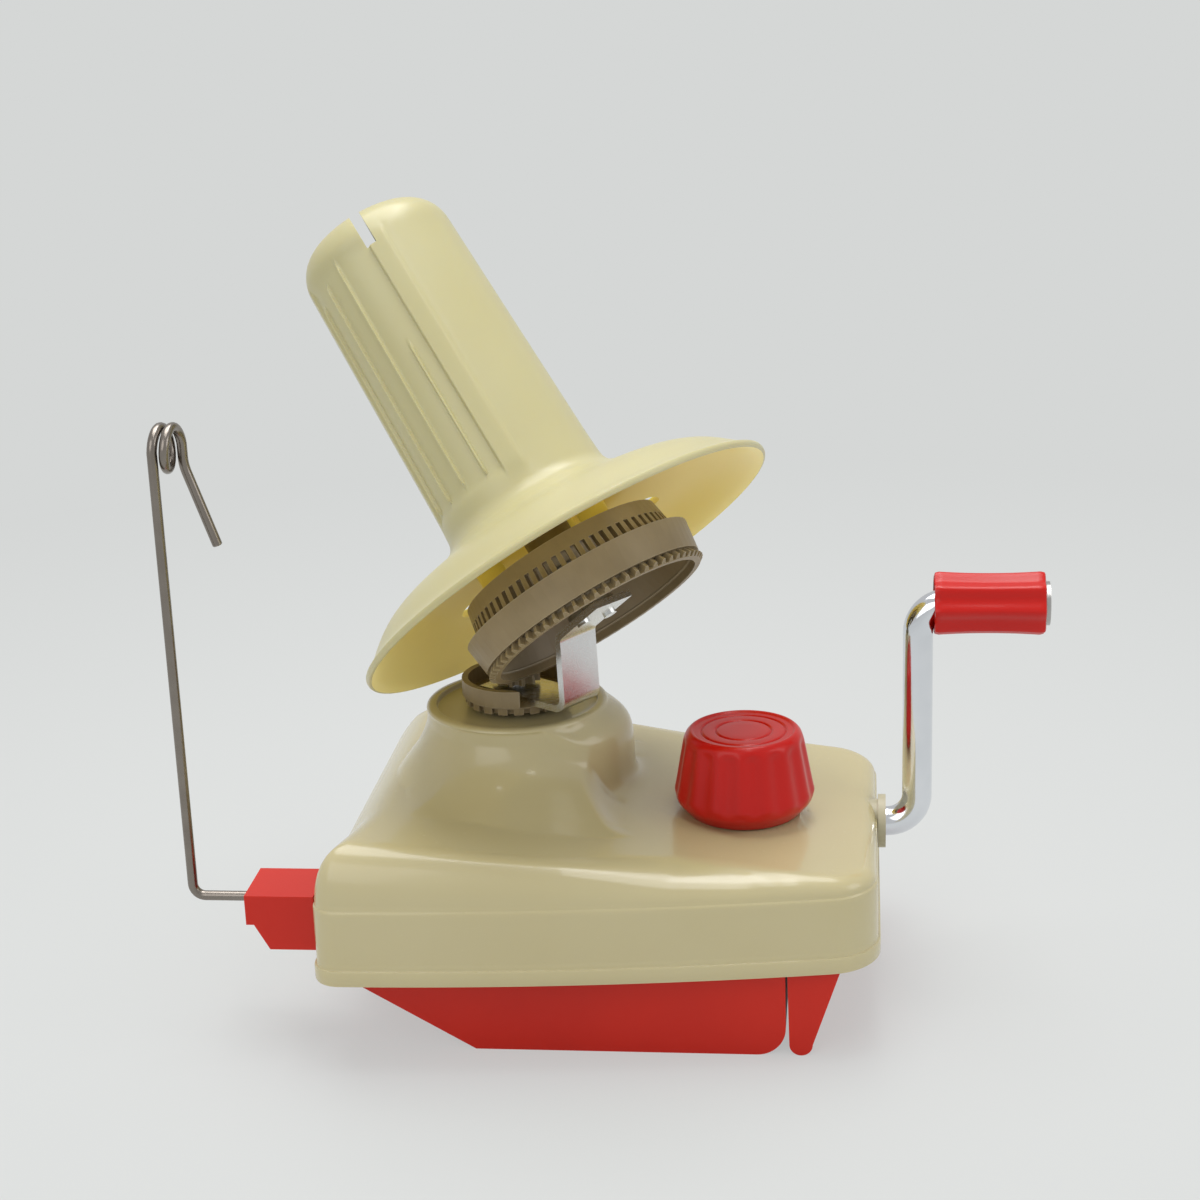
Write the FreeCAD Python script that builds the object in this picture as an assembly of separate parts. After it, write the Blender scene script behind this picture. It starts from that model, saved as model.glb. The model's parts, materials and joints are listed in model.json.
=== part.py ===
import FreeCAD, Part
import math
import os

# Hand-cranked yarn ball winder with a tilted bobbin, a table clamp and a wire yarn guide.
# Millimetres. X runs from the wire guide to the crank, Y to the back, Z up.
# The origin lies on the surface that the winder stands on, under the middle of the housing.

# Housing: half its length, and half its depth at the left end, the middle and the right end
housing_half_length = 76.0
depth_left = 65.0
depth_middle = 61.0
depth_right = 50.0
corner_left = 7.0
corner_right = 12.0
wall = 2.2
belt_height = 21.7
lip_height = 4.6
lip_step = 0.7
shoulder_inset = 0.5
deck_height = 32.4
deck_fall = 0.09
deck_edge_round = 4.0
shoulder_height = 21.9
hump_end = 0.0526
hump_wall_run = 6.0
left_brow = ((0.0, 24.0), (2.2, 30.1), (7.2, 36.5))

# Width of the round shoulder along both sides, at shares of the housing's half length
shoulder_widths = ((-1.0, 9.0), (-0.1053, 9.0), (0.0526, 11.0), (0.2763, 15.0), (0.4868, 12.5),
                   (0.7237, 6.0), (1.0, 4.5))
shoulder_steps = 3
roof_stations = (-1.0, -0.9211, -0.8421, -0.7632, -0.6579, -0.3684, -0.1053)
roof_spread = (-1.0, -0.83, -0.66, -0.5, -0.33, 0.18, 0.68, 0.84, 1.0)

# Neck on top of the housing, about the flyer's axis
neck_x = -28.2
neck_y = 9.2
neck_height = 56.0
neck_radius = 26.4
neck_rim_width = 3.0
neck_recess_depth = 1.6
neck_plate = 3.0
neck_round = 1.2
bell_base = 31.5
bell_top_drop = 6.5
bell_reach = 9.0
lobe_radius = 24.4
lobe_offset = 9.6
lobe_slope_run = 3.5
lobe_slope_drop = 4.5
lobe_top_drop = 1.0

# Clearances
running_clearance = 0.05
sliding_clearance = 0.3
seat_clearance = 0.03

# Bottom cover and its fixed leg
cover_thickness = 2.4
cover_gap = 0.2
post_boss_radius = 4.4
post_boss_height = 8.0
leg_inset = 10.0
leg_width = 14.6
leg_tip_width = 6.4
leg_tip_inset = 3.6
leg_wall = 2.2
screw_boss_radius = 4.0
cover_screw_radius = 1.4
cover_screw_head = 2.9
cover_screw_length = 11.0
cover_screw_inset_x = 12.0
cover_screw_inset_y = 14.0

# Clamp jaw, a trough that slides up and down on a square tower
jaw_drop = 26.0
jaw_inset_y = 15.0
jaw_leg_gap = 0.5
jaw_floor_left = -35.0
jaw_slope_left = -69.0
jaw_slope_top = 20.0
jaw_rim_gap = 0.4
jaw_wall = 2.4
jaw_corner = 8.0
jaw_rib = 2.0
jaw_rib_height = 12.0
jaw_rib_places = (-30.0, 0.0)
jaw_spine_left = -60.0
tower_width = 15.0
tower_top = 22.4
collar_wall = 1.8
collar_drop = 16.0

# Clamp screw and knob
clamp_x = 38.5
clamp_y = -8.7
screw_radius = 3.75
screw_end_drop = 19.0
nut_width = 11.0
nut_height = 6.0
knob_radius = 19.7
knob_top_radius = 15.1
knob_foot_radius = 14.4
knob_foot_height = 29.6
knob_wide_height = 37.6
knob_top_height = 53.9
knob_ring_radii = (7.8, 11.9)
knob_flutes = 16
knob_flute_depth = 0.9
knob_ring_width = 0.7
knob_ring_depth = 0.5
knob_seat_height = 29.3
knob_boss_radius = 8.0
knob_boss_bottom = 24.8
clip_thickness = 0.8
clip_radius = 6.4

# Crank: shaft, arm and turning grip
shaft_height = 18.65
crank_radius = 4.25
crank_arm_gap = 11.4
crank_bend = 8.5
grip_height = 85.0
grip_gap = 4.4
grip_length = 30.8
grip_radius = 9.35
grip_waist = 0.5
grip_flutes = 8
grip_flute_depth = 0.7
grip_recess_radius = 7.7
grip_recess_depth = 4.6
rivet_head_radius = 6.2
rivet_head_height = 1.2
bush_wall = 2.0
bush_flange = 2.2
bush_length = 9.0
collar_radius = 5.3
collar_width = 5.0
bearing_x = -9.0
bearing_width = 8.0
bearing_wall = 4.5

# Crown gear on the crank shaft, meshing with the spindle's pinion
crown_teeth = 30
pinion_teeth = 12
pinion_pitch_radius = 5.58
drive_addendum = 0.6
drive_dedendum = 0.95
drive_tooth_base = 1.55
drive_tooth_tip = 0.75
crown_face = 2.7
crown_rim_overhang = 1.35
crown_disc = 3.0
crown_hub_radius = 8.0
crown_hub_length = 5.0
pinion_overlap = 0.8
gear_pin_radius = 1.0

# Flyer: spindle, cup and bracket turning about the neck's axis
post_radius = 2.5
spindle_radius = 6.0
spindle_foot = 28.4
neck_bush_wall = 1.8
neck_bush_length = 12.0
cup_radius = 15.8
cup_wall = 1.8
cup_foot_rise = 0.2
cup_band_rise = 2.6
cup_rim_rise = 7.5
cup_castle_count = 20
cup_castle_width = 1.9
cup_castle_depth = 1.5
cup_notch_width = 21.8
bracket_width = 15.0
bracket_thickness = 2.0
bracket_leg_rise = 4.7
bracket_reach_low = 24.7
bracket_reach_high = 23.7
bracket_bend = 3.0
arm_beyond = 9.0

# Tilted bobbin axis. Heights along it are counted from the flange's rim plane.
bobbin_azimuth = 145.32
bobbin_tilt = 39.69
rim_to_apex = 33.8
flange_radius = 64.1
flange_thickness = 2.0
saucer_shape = ((61.3, 1.8), (55.7, 6.7), (50.1, 10.0), (41.8, 12.5), (30.6, 16.4), (26.9, 18.7))
sleeve_foot_radius = 24.8
sleeve_foot = 22.1
sleeve_top_radius = 22.9
sleeve_shoulder = 105.3
sleeve_top = 115.5
sleeve_wall = 2.0
bobbin_sides = 60
end_round = 8.0
slit_width = 3.2
slit_depth = 13.0
slit_angle = 134.0
flange_hole_radius = 43.0
flange_hole_long = 6.7
flange_hole_wide = 5.6
flange_hole_count = 4
flange_hole_start = -1.5
rib_count = 4
rib_pitch_angle = 17.0
rib_first_angle = 68.0
rib_width = 1.0
rib_height = 0.7
rib_bottom = 30.0
rib_top = 96.0

# Bobbin gear, a dish with a slotted ring
dish_lip = -14.7
dish_inner_radius = 31.7
dish_lip_radius = 34.2
dish_band_radius = 35.4
dish_band_top = -6.0
dish_ring_radius = 31.8
dish_ring_top_radius = 30.2
dish_ring_wall = 2.6
dish_slot_top = -1.4
dish_top = 3.1
dish_floor = 2.2
dish_slot_width = 1.5
dish_hub_radius = 7.0
dish_hub_top = 40.0
gear_screw_circle = 19.4
gear_screw_count = 3
gear_screw_first_angle = 60.0
gear_screw_radius = 1.5
gear_screw_head = 2.8
gear_boss_radius = 4.2
axle_radius = 3.0
axle_bush_wall = 1.4
axle_foot_radius = 7.2
axle_foot = 1.6
arm_rivet_spacing = 11.0
arm_rivet_radius = 1.2

# Bevel pair: fixed sun pinion in the cup and fine teeth under the dish's lip
sun_teeth = 12
bobbin_teeth = 66
bevel_slant = 59.8
bevel_addendum = 0.65
bevel_dedendum = 0.95
bevel_tooth_base = 1.75
bevel_tooth_tip = 0.8
bevel_slant_start = 58.5
bevel_slant_end = 61.0
sun_top_rise = 10.0
sun_bottom_rise = 6.0
sun_mesh_rise = 9.8

# Wire guide on the left wall
holder_inset_y = 19.0
holder_width = 19.0
holder_reach = 22.7
holder_top = 17.5
holder_low = 1.4
holder_high_foot = 8.8
holder_step_inset = 2.2
holder_step_run = 4.1
tongue_inset = 4.0
tongue_length = 6.0
wire_radius = 1.4
wire_height = 13.2
wire_reach = 17.2
wire_top = 141.5
wire_bend = 3.5
wire_sides = 8
small_round_sides = 12
wire_depth = 21.0
eye_radius = 5.6
eye_pitch = 3.3
eye_half_turns = 3
limb_straight = 6.0
limb_bend = 14.0
limb_end_run = 12.5
limb_end_drop = 28.8

# Worked out from the sizes above
base = jaw_drop
tilt = math.radians(bobbin_tilt)
hump_end_x = hump_end * housing_half_length
bell_rise = neck_height - bell_top_drop - bell_base
lobe_top = neck_height - lobe_top_drop
leg_outer_x = housing_half_length - leg_inset
leg_inner_x = leg_outer_x - leg_width
leg_tip_x = leg_inner_x + leg_tip_inset
leg_half_depth = depth_right
jaw_right_x = leg_inner_x - jaw_leg_gap
jaw_half_depth = depth_left - jaw_inset_y
crank_arm_x = housing_half_length + crank_arm_gap
grip_left = crank_arm_x + grip_gap
cup_foot = neck_height + cup_foot_rise
cup_band_bottom = neck_height + cup_band_rise
cup_rim = neck_height + cup_rim_rise
bracket_leg_top = neck_height + bracket_leg_rise
sun_top = neck_height + sun_top_rise
sun_bottom = neck_height + sun_bottom_rise
sun_cone = math.atan2(math.sin(tilt), bobbin_teeth / sun_teeth + math.cos(tilt))
gear_cone = tilt - sun_cone
apex_height = neck_height + sun_mesh_rise + bevel_slant * math.cos(sun_cone)
holder_near_y = -depth_left + holder_inset_y
holder_far_y = holder_near_y + holder_width
holder_left_x = -housing_half_length - holder_reach
holder_step_x = holder_left_x + holder_step_inset
holder_step_end_x = holder_step_x + holder_step_run
guide_y = (holder_near_y + holder_far_y) / 2
wire_x = holder_left_x - wire_reach
limb_end_x = wire_x + limb_end_run
limb_end_height = wire_top - limb_end_drop
crown_pitch_radius = pinion_pitch_radius * crown_teeth / pinion_teeth
crown_root_x = neck_x + pinion_pitch_radius + drive_dedendum

vector = FreeCAD.Vector
up = vector(0, 0, 1)
along = vector(1, 0, 0)
back = vector(0, 1, 0)


def cylinder(radius, low, high, x=0, y=0):
    return Part.makeCylinder(radius, high - low, vector(x, y, low), up)


def rod_x(radius, start, end, y, z):
    return Part.makeCylinder(radius, end - start, vector(start, y, z), along)


def block(x0, x1, y0, y1, z0, z1):
    return Part.makeBox(x1 - x0, y1 - y0, z1 - z0, vector(x0, y0, z0))


def ring_corners(radii, z, x=0, y=0):
    """Corners about a vertical axis, one for each radius."""
    corners = []
    for index, radius in enumerate(radii):
        turn = 2 * math.pi * index / len(radii)
        corners.append(vector(x + radius * math.cos(turn), y + radius * math.sin(turn), z))
    return corners


def flat_face(corners):
    return Part.Face(Part.makePolygon(corners + corners[:1]))


def facet_stack(rings):
    """Solid through rings of as many corners each, its sides in flat triangles."""
    faces = [flat_face(rings[0]), flat_face(rings[-1])]
    for lower, upper in zip(rings, rings[1:]):
        for index in range(len(lower)):
            after = (index + 1) % len(lower)
            faces.append(flat_face([lower[index], lower[after], upper[after]]))
            faces.append(flat_face([lower[index], upper[after], upper[index]]))
    return Part.Solid(Part.Shell(faces))


def facet_revolve(points, sides):
    """Many-sided solid about Z of a closed (radius, height) outline."""
    turns = [2 * math.pi * index / sides for index in range(sides + 1)]
    faces = []
    for (r0, z0), (r1, z1) in zip(points, points[1:] + points[:1]):
        if r0 == 0 and r1 == 0:
            continue
        for turn, after in zip(turns, turns[1:]):
            corners = [(r0, turn, z0), (r0, after, z0), (r1, after, z1), (r1, turn, z1)]
            if r0 == 0:
                corners = corners[1:]
            elif r1 == 0:
                corners = corners[:3]
            faces.append(flat_face([vector(r * math.cos(a), r * math.sin(a), z) for r, a, z in corners]))
    return Part.Solid(Part.Shell(faces))


def prism(radius, low, high, x=0, y=0, sides=small_round_sides):
    """Many-sided pin for small round details that nothing turns in."""
    return flat_face(ring_corners([radius] * sides, low, x, y)).extrude(vector(0, 0, high - low))


def fluted_outline(radius, depth, flutes, z):
    """Ring of ridges, each flute two corners wide."""
    return ring_corners([radius, radius - depth, radius - depth] * flutes, z)


def tube(outer, inner, low, high, x=0, y=0):
    return cylinder(outer, low, high, x, y).cut(cylinder(inner, low - 1, high + 1, x, y))


def revolve(points):
    """Solid of revolution about Z of a closed (radius, height) outline."""
    outline = [vector(r, 0, z) for r, z in points]
    face = Part.Face(Part.makePolygon(outline + outline[:1]))
    return face.revolve(vector(0, 0, 0), up, 360)


def ring_of(shape, count, axis=up, centre=None, start=0.0):
    """Copies of a shape spaced evenly about an axis."""
    centre = centre or vector(0, 0, 0)
    copies = []
    for index in range(count):
        copy = shape.copy()
        copy.rotate(centre, axis, start + 360.0 * index / count)
        copies.append(copy)
    return copies


def bent_path(points, radius):
    """Straight runs through the points, joined by tangent arcs of one radius."""
    corners = [vector(*p) for p in points]
    edges = []
    start = corners[0]
    for before, corner, after in zip(corners, corners[1:], corners[2:]):
        to_start = (before - corner).normalize()
        to_end = (after - corner).normalize()
        half = to_start.getAngle(to_end) / 2
        setback = radius / math.tan(half)
        entry = corner + to_start * setback
        leave = corner + to_end * setback
        middle_way = (to_start + to_end).normalize()
        middle = corner + middle_way * (radius / math.sin(half) - radius)
        edges.append(Part.LineSegment(start, entry).toShape())
        edges.append(Part.Arc(entry, middle, leave).toShape())
        start = leave
    edges.append(Part.LineSegment(start, corners[-1]).toShape())
    return Part.Wire(edges)


def sweep_round(path, radius):
    start = path.Edges[0]
    direction = start.tangentAt(start.FirstParameter)
    section = Part.Wire(Part.makeCircle(radius, start.valueAt(start.FirstParameter), direction))
    return path.makePipeShell([section], True, False)


def sweep_faceted(path, radius, sides):
    """Many-sided bar along a path that starts in the direction of X."""
    start = path.Edges[0]
    corners = ring_corners([radius] * sides, 0)
    section = Part.makePolygon(corners + corners[:1])
    section.rotate(vector(0, 0, 0), back, 90)
    section.translate(start.valueAt(start.FirstParameter))
    return path.makePipeShell([section], True, False)


def frustum_tooth(near, far):
    """Flat-faced solid tooth between two four-cornered sections."""
    faces = [flat_face(near), flat_face(far)]
    for index in range(4):
        after = (index + 1) % 4
        faces.append(flat_face([near[index], near[after], far[after], far[index]]))
    return Part.Solid(Part.Shell(faces))


# Frames: the flyer's X points away from the bobbin's lean; the bobbin's Z runs along its axis
flyer_frame = FreeCAD.Placement(
    vector(neck_x, neck_y, base), FreeCAD.Rotation(up, bobbin_azimuth - 180))
rim_centre = vector(rim_to_apex * math.sin(tilt), 0, apex_height - rim_to_apex * math.cos(tilt))
lean = FreeCAD.Rotation(back, -bobbin_tilt).multiply(FreeCAD.Rotation(up, 180))
bobbin_frame = flyer_frame.multiply(FreeCAD.Placement(rim_centre, lean))


def placed(shape, frame):
    moved = shape.copy()
    moved.Placement = frame.multiply(moved.Placement)
    return moved


def half_depth(x):
    """Half the housing's depth at x, on the arc through its three given depths."""
    along_length = x / housing_half_length
    mean = (depth_left + depth_right) / 2
    taper = (depth_left - depth_right) / 2
    return mean - taper * along_length + (depth_middle - mean) * (1 - along_length ** 2)


def plan_wire(inset, z):
    """Sharp-cornered plan of the housing, drawn in by an inset."""
    end = housing_half_length - inset
    corners = []
    for side in (-1, 1):
        for x in (-end, 0.0, end):
            corners.append(vector(x, side * (half_depth(x) - inset), z))
    near_left, near_middle, near_right, far_left, far_middle, far_right = corners
    edges = [
        Part.Arc(near_left, near_middle, near_right).toShape(),
        Part.LineSegment(near_right, far_right).toShape(),
        Part.Arc(far_right, far_middle, far_left).toShape(),
        Part.LineSegment(far_left, near_left).toShape(),
    ]
    return Part.Wire(edges)


def upright_edges(solid, side):
    found = []
    for edge in solid.Edges:
        ends = [vertex.Point for vertex in edge.Vertexes]
        if len(ends) == 2 and abs(ends[0].z - ends[1].z) > 0.8 * solid.BoundBox.ZLength:
            if ends[0].x * side > 0:
                found.append(edge)
    return found


def plan_block(inset, low, high):
    """Housing plan raised from one height to another, with rounded corners."""
    body = Part.Face(plan_wire(inset, low)).extrude(vector(0, 0, high - low))
    body = body.makeFillet(max(corner_left - inset, 1.0), upright_edges(body, -1))
    return body.makeFillet(max(corner_right - inset, 1.0), upright_edges(body, 1))


def deck_at(x):
    return deck_height - deck_fall * x


def shoulder_width_at(x):
    share = x / housing_half_length
    for (share0, width0), (share1, width1) in zip(shoulder_widths, shoulder_widths[1:]):
        if share <= share1:
            return width0 + (width1 - width0) * (share - share0) / (share1 - share0)
    return shoulder_widths[-1][1]


def roof_at(x, y):
    """Height of the roof: a bell round the neck, and the deck to the right of it."""
    if x >= hump_end_x:
        return deck_at(x)
    distance = math.hypot(x - neck_x, y - neck_y)
    return bell_base + bell_rise * math.exp(-max(distance - neck_radius, 0) / bell_reach)


def roof_section(x, inset):
    """Cross-section square to X: walls, round shoulders and the roof between them."""
    width = shoulder_width_at(x)
    knee = half_depth(x) - shoulder_inset - width
    edge_z = shoulder_height - inset
    low = -2.0
    profile = []
    for side in (-1, 1):
        rise = roof_at(x, side * knee) - shoulder_height
        steps = [math.radians(90.0 * step / shoulder_steps) for step in range(shoulder_steps)]
        shoulder = [vector(x, side * (knee + (width - inset) * math.cos(turn)),
                           edge_z + rise * math.sin(turn)) for turn in steps]
        profile.append([vector(x, side * (knee + width - inset), low)] + shoulder)
    top = [vector(x, share * knee, roof_at(x, share * knee) - inset) for share in roof_spread]
    return profile[0] + top + profile[1][::-1]


def end_profile(inset):
    """Side view of the housing's two ends: the left brow and the deck's round end."""
    left = -housing_half_length + shoulder_inset + inset
    right = housing_half_length - shoulder_inset - inset
    top = neck_height + 5
    corners = [vector(left, 0, -2)]
    corners += [vector(left + run, 0, z - inset) for run, z in left_brow]
    corners += [vector(left + 4 * left_brow[-1][0], 0, top), vector(right - deck_edge_round, 0, top)]
    edge_z = deck_at(right) - inset - deck_edge_round
    for turn in (90, 60, 30, 0):
        corners.append(vector(right - deck_edge_round * (1 - math.cos(math.radians(turn))), 0,
                              edge_z + deck_edge_round * math.sin(math.radians(turn))))
    corners.append(vector(right, 0, -2))
    face = Part.Face(Part.makePolygon(corners + corners[:1]))
    face.translate(vector(0, -depth_left - 5, 0))
    return face.extrude(vector(0, 2 * depth_left + 10, 0))


def roof_body(inset):
    """Roof in straight-sided strips between cross-sections, trimmed to the plan and the ends."""
    stations = [share * housing_half_length for share in roof_stations]
    stations.append(hump_end_x - hump_wall_run)
    stations += [share * housing_half_length for share, width in shoulder_widths if share >= hump_end]
    sections = [roof_section(x, inset) for x in stations]
    roof = facet_stack(sections)
    return roof.common(plan_block(inset + shoulder_inset, -2.0, neck_height + 5)).common(end_profile(inset))


def neck_body(inset):
    """Round neck, and the lobe beside it that stands over the pinion."""
    top = neck_height - inset
    round_off = neck_round if not inset else 0.0
    edge = neck_radius - inset
    neck = revolve([(0, 20.0), (edge, 20.0), (edge, top - round_off), (edge - round_off, top), (0, top)])
    lobe_edge = lobe_radius - inset
    lobe = revolve([(0, 20.0), (lobe_edge, 20.0), (lobe_edge, neck_height - lobe_slope_drop - inset),
                    (lobe_edge - lobe_slope_run, lobe_top - inset), (0, lobe_top - inset)])
    lobe.translate(vector(lobe_offset, 0, 0))
    return neck.fuse(lobe).translated(vector(neck_x, neck_y, 0))


def housing_form(inset):
    """Outer form of the upper housing in its own heights, or the same drawn in by an inset."""
    belt = plan_block(inset, -2.0 if inset else 0.0, belt_height - inset)
    form = belt.fuse([roof_body(inset), neck_body(inset)])
    if inset:
        return form
    reach = 2 * housing_half_length
    return form.cut(block(-reach, reach, -reach, reach, -10, 0))


def screw_places():
    places = []
    for side_x in (-1, 1):
        for side_y in (-1, 1):
            x = side_x * (housing_half_length - cover_screw_inset_x)
            y = side_y * (half_depth(x) - cover_screw_inset_y)
            places.append((x, y))
    return places


def upper_housing():
    outer = housing_form(0.0)
    lip = plan_block(-lip_step, 0.0, lip_height)
    seat = cylinder(knob_foot_radius, deck_height - 10, knob_seat_height, clamp_x, clamp_y)
    body = outer.fuse([lip, seat]).cut(housing_form(wall))
    plate_top = neck_height - neck_recess_depth
    inner_parts = [
        cylinder(neck_radius - 1.0, plate_top - neck_plate, plate_top, neck_x, neck_y),
        cylinder(neck_bush_outer() + wall, plate_top - neck_bush_length, plate_top, neck_x, neck_y),
        cylinder(knob_boss_radius, knob_boss_bottom, deck_height - 3.0, clamp_x, clamp_y),
        rod_x(crank_radius + bush_wall + wall, housing_half_length - bush_length,
              housing_half_length - 1.0, neck_y, shaft_height),
    ]
    for x, y in screw_places():
        inner_parts.append(prism(screw_boss_radius, cover_thickness + cover_gap, neck_height, x, y))
    kept = [piece.common(outer) for piece in inner_parts]
    body = body.fuse(kept)
    recess = cylinder(neck_radius - neck_rim_width, plate_top, neck_height + 5, neck_x, neck_y)
    holes = [
        recess,
        cylinder(knob_foot_radius + 1.0, knob_seat_height, deck_height + 5, clamp_x, clamp_y),
        cylinder(neck_bush_outer() + seat_clearance, 20, neck_height, neck_x, neck_y),
        cylinder(screw_radius + running_clearance, 10, deck_height + 5, clamp_x, clamp_y),
        rod_x(crank_radius + bush_wall + seat_clearance, housing_half_length - 15,
              housing_half_length + 5, neck_y, shaft_height),
        block(-housing_half_length - 5, -housing_half_length, holder_near_y - cover_gap,
              holder_far_y + cover_gap, holder_low - 1.5, holder_top + cover_gap),
        block(-housing_half_length - 5, -housing_half_length + 8,
              holder_near_y + tongue_inset - cover_gap, holder_far_y - tongue_inset + cover_gap,
              holder_low + tongue_inset - cover_gap, holder_top - tongue_inset + cover_gap),
    ]
    for x, y in screw_places():
        holes.append(prism(cover_screw_radius + seat_clearance, 0, cover_screw_length + 1, x, y))
    body = body.cut(Part.makeCompound(holes))
    return body.translated(vector(0, 0, base))


def neck_bush_outer():
    return spindle_radius + running_clearance + neck_bush_wall


def neck_bush():
    top = neck_height - neck_recess_depth
    sleeve = tube(neck_bush_outer(), spindle_radius + running_clearance, top - neck_bush_length, top,
                  neck_x, neck_y)
    return sleeve.translated(vector(0, 0, base))


def crank_bush():
    outer = crank_radius + bush_wall
    left = housing_half_length - bush_length
    right = housing_half_length + 0.2
    body = rod_x(outer, left, right, neck_y, shaft_height)
    flange = rod_x(outer + 1.5, right, right + bush_flange, neck_y, shaft_height)
    bore = rod_x(crank_radius + running_clearance, left - 1, right + 5, neck_y, shaft_height)
    return body.fuse(flange).cut(bore).translated(vector(0, 0, base))


def shaft_bearing():
    """Pedestal on the cover that carries the shaft's inner end."""
    half = crank_radius + bearing_wall
    foot = block(bearing_x, bearing_x + bearing_width, neck_y - half, neck_y + half,
                 cover_thickness, shaft_height)
    head = rod_x(half, bearing_x, bearing_x + bearing_width, neck_y, shaft_height)
    bore = rod_x(crank_radius + running_clearance, bearing_x - 1, bearing_x + bearing_width + 1,
                 neck_y, shaft_height)
    floor = block(bearing_x - 1, bearing_x + bearing_width + 1, neck_y - 2 * half, neck_y + 2 * half,
                  -20, cover_thickness)
    return foot.fuse(head).cut(bore).cut(floor).removeSplitter().translated(vector(0, 0, base))


def leg():
    """Hollow wedge under the cover's right end, with a rounded tip."""
    def wedge(inset):
        tip_radius = leg_tip_width / 2 - inset
        low = -jaw_drop + inset
        left = leg_inner_x + inset
        right = leg_outer_x - inset * 1.3
        centre_x = leg_tip_x
        points = [
            vector(left, 0, 0),
            vector(centre_x - tip_radius, 0, low + tip_radius),
            vector(centre_x, 0, low),
            vector(centre_x + tip_radius, 0, low + tip_radius),
            vector(right, 0, 0),
        ]
        edges = [
            Part.LineSegment(points[0], points[1]).toShape(),
            Part.Arc(points[1], points[2], points[3]).toShape(),
            Part.LineSegment(points[3], points[4]).toShape(),
            Part.LineSegment(points[4], points[0]).toShape(),
        ]
        half = leg_half_depth - inset
        face = Part.Face(Part.Wire(edges))
        face.translate(vector(0, -half, 0))
        return face.extrude(vector(0, 2 * half, 0))
    return wedge(0.0).cut(wedge(leg_wall))


def bottom_cover():
    plate = plan_block(wall + cover_gap, 0.0, cover_thickness)
    half_hole = tower_width / 2 + sliding_clearance
    half_collar = half_hole + collar_wall
    collar = block(clamp_x - half_collar, clamp_x + half_collar, clamp_y - half_collar,
                   clamp_y + half_collar, -collar_drop, cover_thickness)
    post_boss = cylinder(post_boss_radius, cover_thickness - 0.5, cover_thickness + post_boss_height,
                         neck_x, neck_y)
    body = plate.fuse([leg(), collar, post_boss])
    cuts = [
        block(clamp_x - half_hole, clamp_x + half_hole, clamp_y - half_hole,
              clamp_y + half_hole, -collar_drop - 1, cover_thickness + 1),
        cylinder(post_radius + seat_clearance, cover_thickness / 2, cover_thickness + 20, neck_x, neck_y),
    ]
    for x, y in screw_places():
        cuts.append(prism(cover_screw_radius + 0.3, -1, cover_thickness + 1, x, y))
        cuts.append(prism(cover_screw_head + 0.3, -1, 1.2, x, y))
    return body.cut(Part.makeCompound(cuts)).removeSplitter().translated(vector(0, 0, base))


def cover_screws():
    screws = []
    for x, y in screw_places():
        shank = prism(cover_screw_radius, 1.2, cover_screw_length, x, y)
        head = prism(cover_screw_head, 0.1, 1.2, x, y)
        screws.append(shank.fuse(head).translated(vector(0, 0, base)))
    return screws


def fixed_post():
    foot = cover_thickness / 2 + 0.1
    return cylinder(post_radius, foot, sun_top, neck_x, neck_y).translated(vector(0, 0, base))


def bevel_point(cone, slant, rise, half_width, scale):
    """Point beside a cone's pitch line, its apex at the origin and its axis along -Z."""
    outward = slant * math.sin(cone) + rise * scale * math.cos(cone)
    height = -slant * math.cos(cone) + rise * scale * math.sin(cone)
    return vector(outward, half_width * scale, height)


def bevel_tooth(cone, start, end):
    sections = []
    for slant in (start, end):
        scale = slant / bevel_slant
        sections.append([
            bevel_point(cone, slant, -bevel_dedendum - 0.2, -bevel_tooth_base / 2, scale),
            bevel_point(cone, slant, bevel_addendum, -bevel_tooth_tip / 2, scale),
            bevel_point(cone, slant, bevel_addendum, bevel_tooth_tip / 2, scale),
            bevel_point(cone, slant, -bevel_dedendum - 0.2, bevel_tooth_base / 2, scale),
        ])
    return frustum_tooth(sections[0], sections[1])


def root_radius(cone, depth):
    """Radius of the root cone at a depth below the apex."""
    slant = (depth - bevel_dedendum * math.sin(cone)) / math.cos(cone)
    return slant * math.sin(cone) - bevel_dedendum * math.cos(cone)


def sun_pinion():
    """Fixed bevel pinion on top of the post."""
    top = apex_height - sun_top
    bottom = apex_height - sun_bottom
    body = revolve([
        (post_radius + seat_clearance, -top),
        (root_radius(sun_cone, top), -top),
        (root_radius(sun_cone, bottom), -bottom),
        (post_radius + seat_clearance, -bottom),
    ])
    tooth = bevel_tooth(sun_cone, top - 1.5, bottom + 1.5)
    teeth = ring_of(tooth, sun_teeth)
    slab = cylinder(20, -bottom, -top)
    pinion = body.fuse([piece.common(slab) for piece in teeth]).removeSplitter()
    pinion.rotate(vector(0, 0, 0), up, bobbin_azimuth)
    return pinion.translated(vector(neck_x, neck_y, base + apex_height))


def crank_rod():
    height = base + shaft_height
    path = bent_path([
        (crown_root_x + 0.5, neck_y, height),
        (crank_arm_x, neck_y, height),
        (crank_arm_x, neck_y, base + grip_height),
        (grip_left + grip_length - 0.2, neck_y, base + grip_height),
    ], crank_bend)
    return sweep_round(path, crank_radius).cut(pin_hole())


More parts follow.
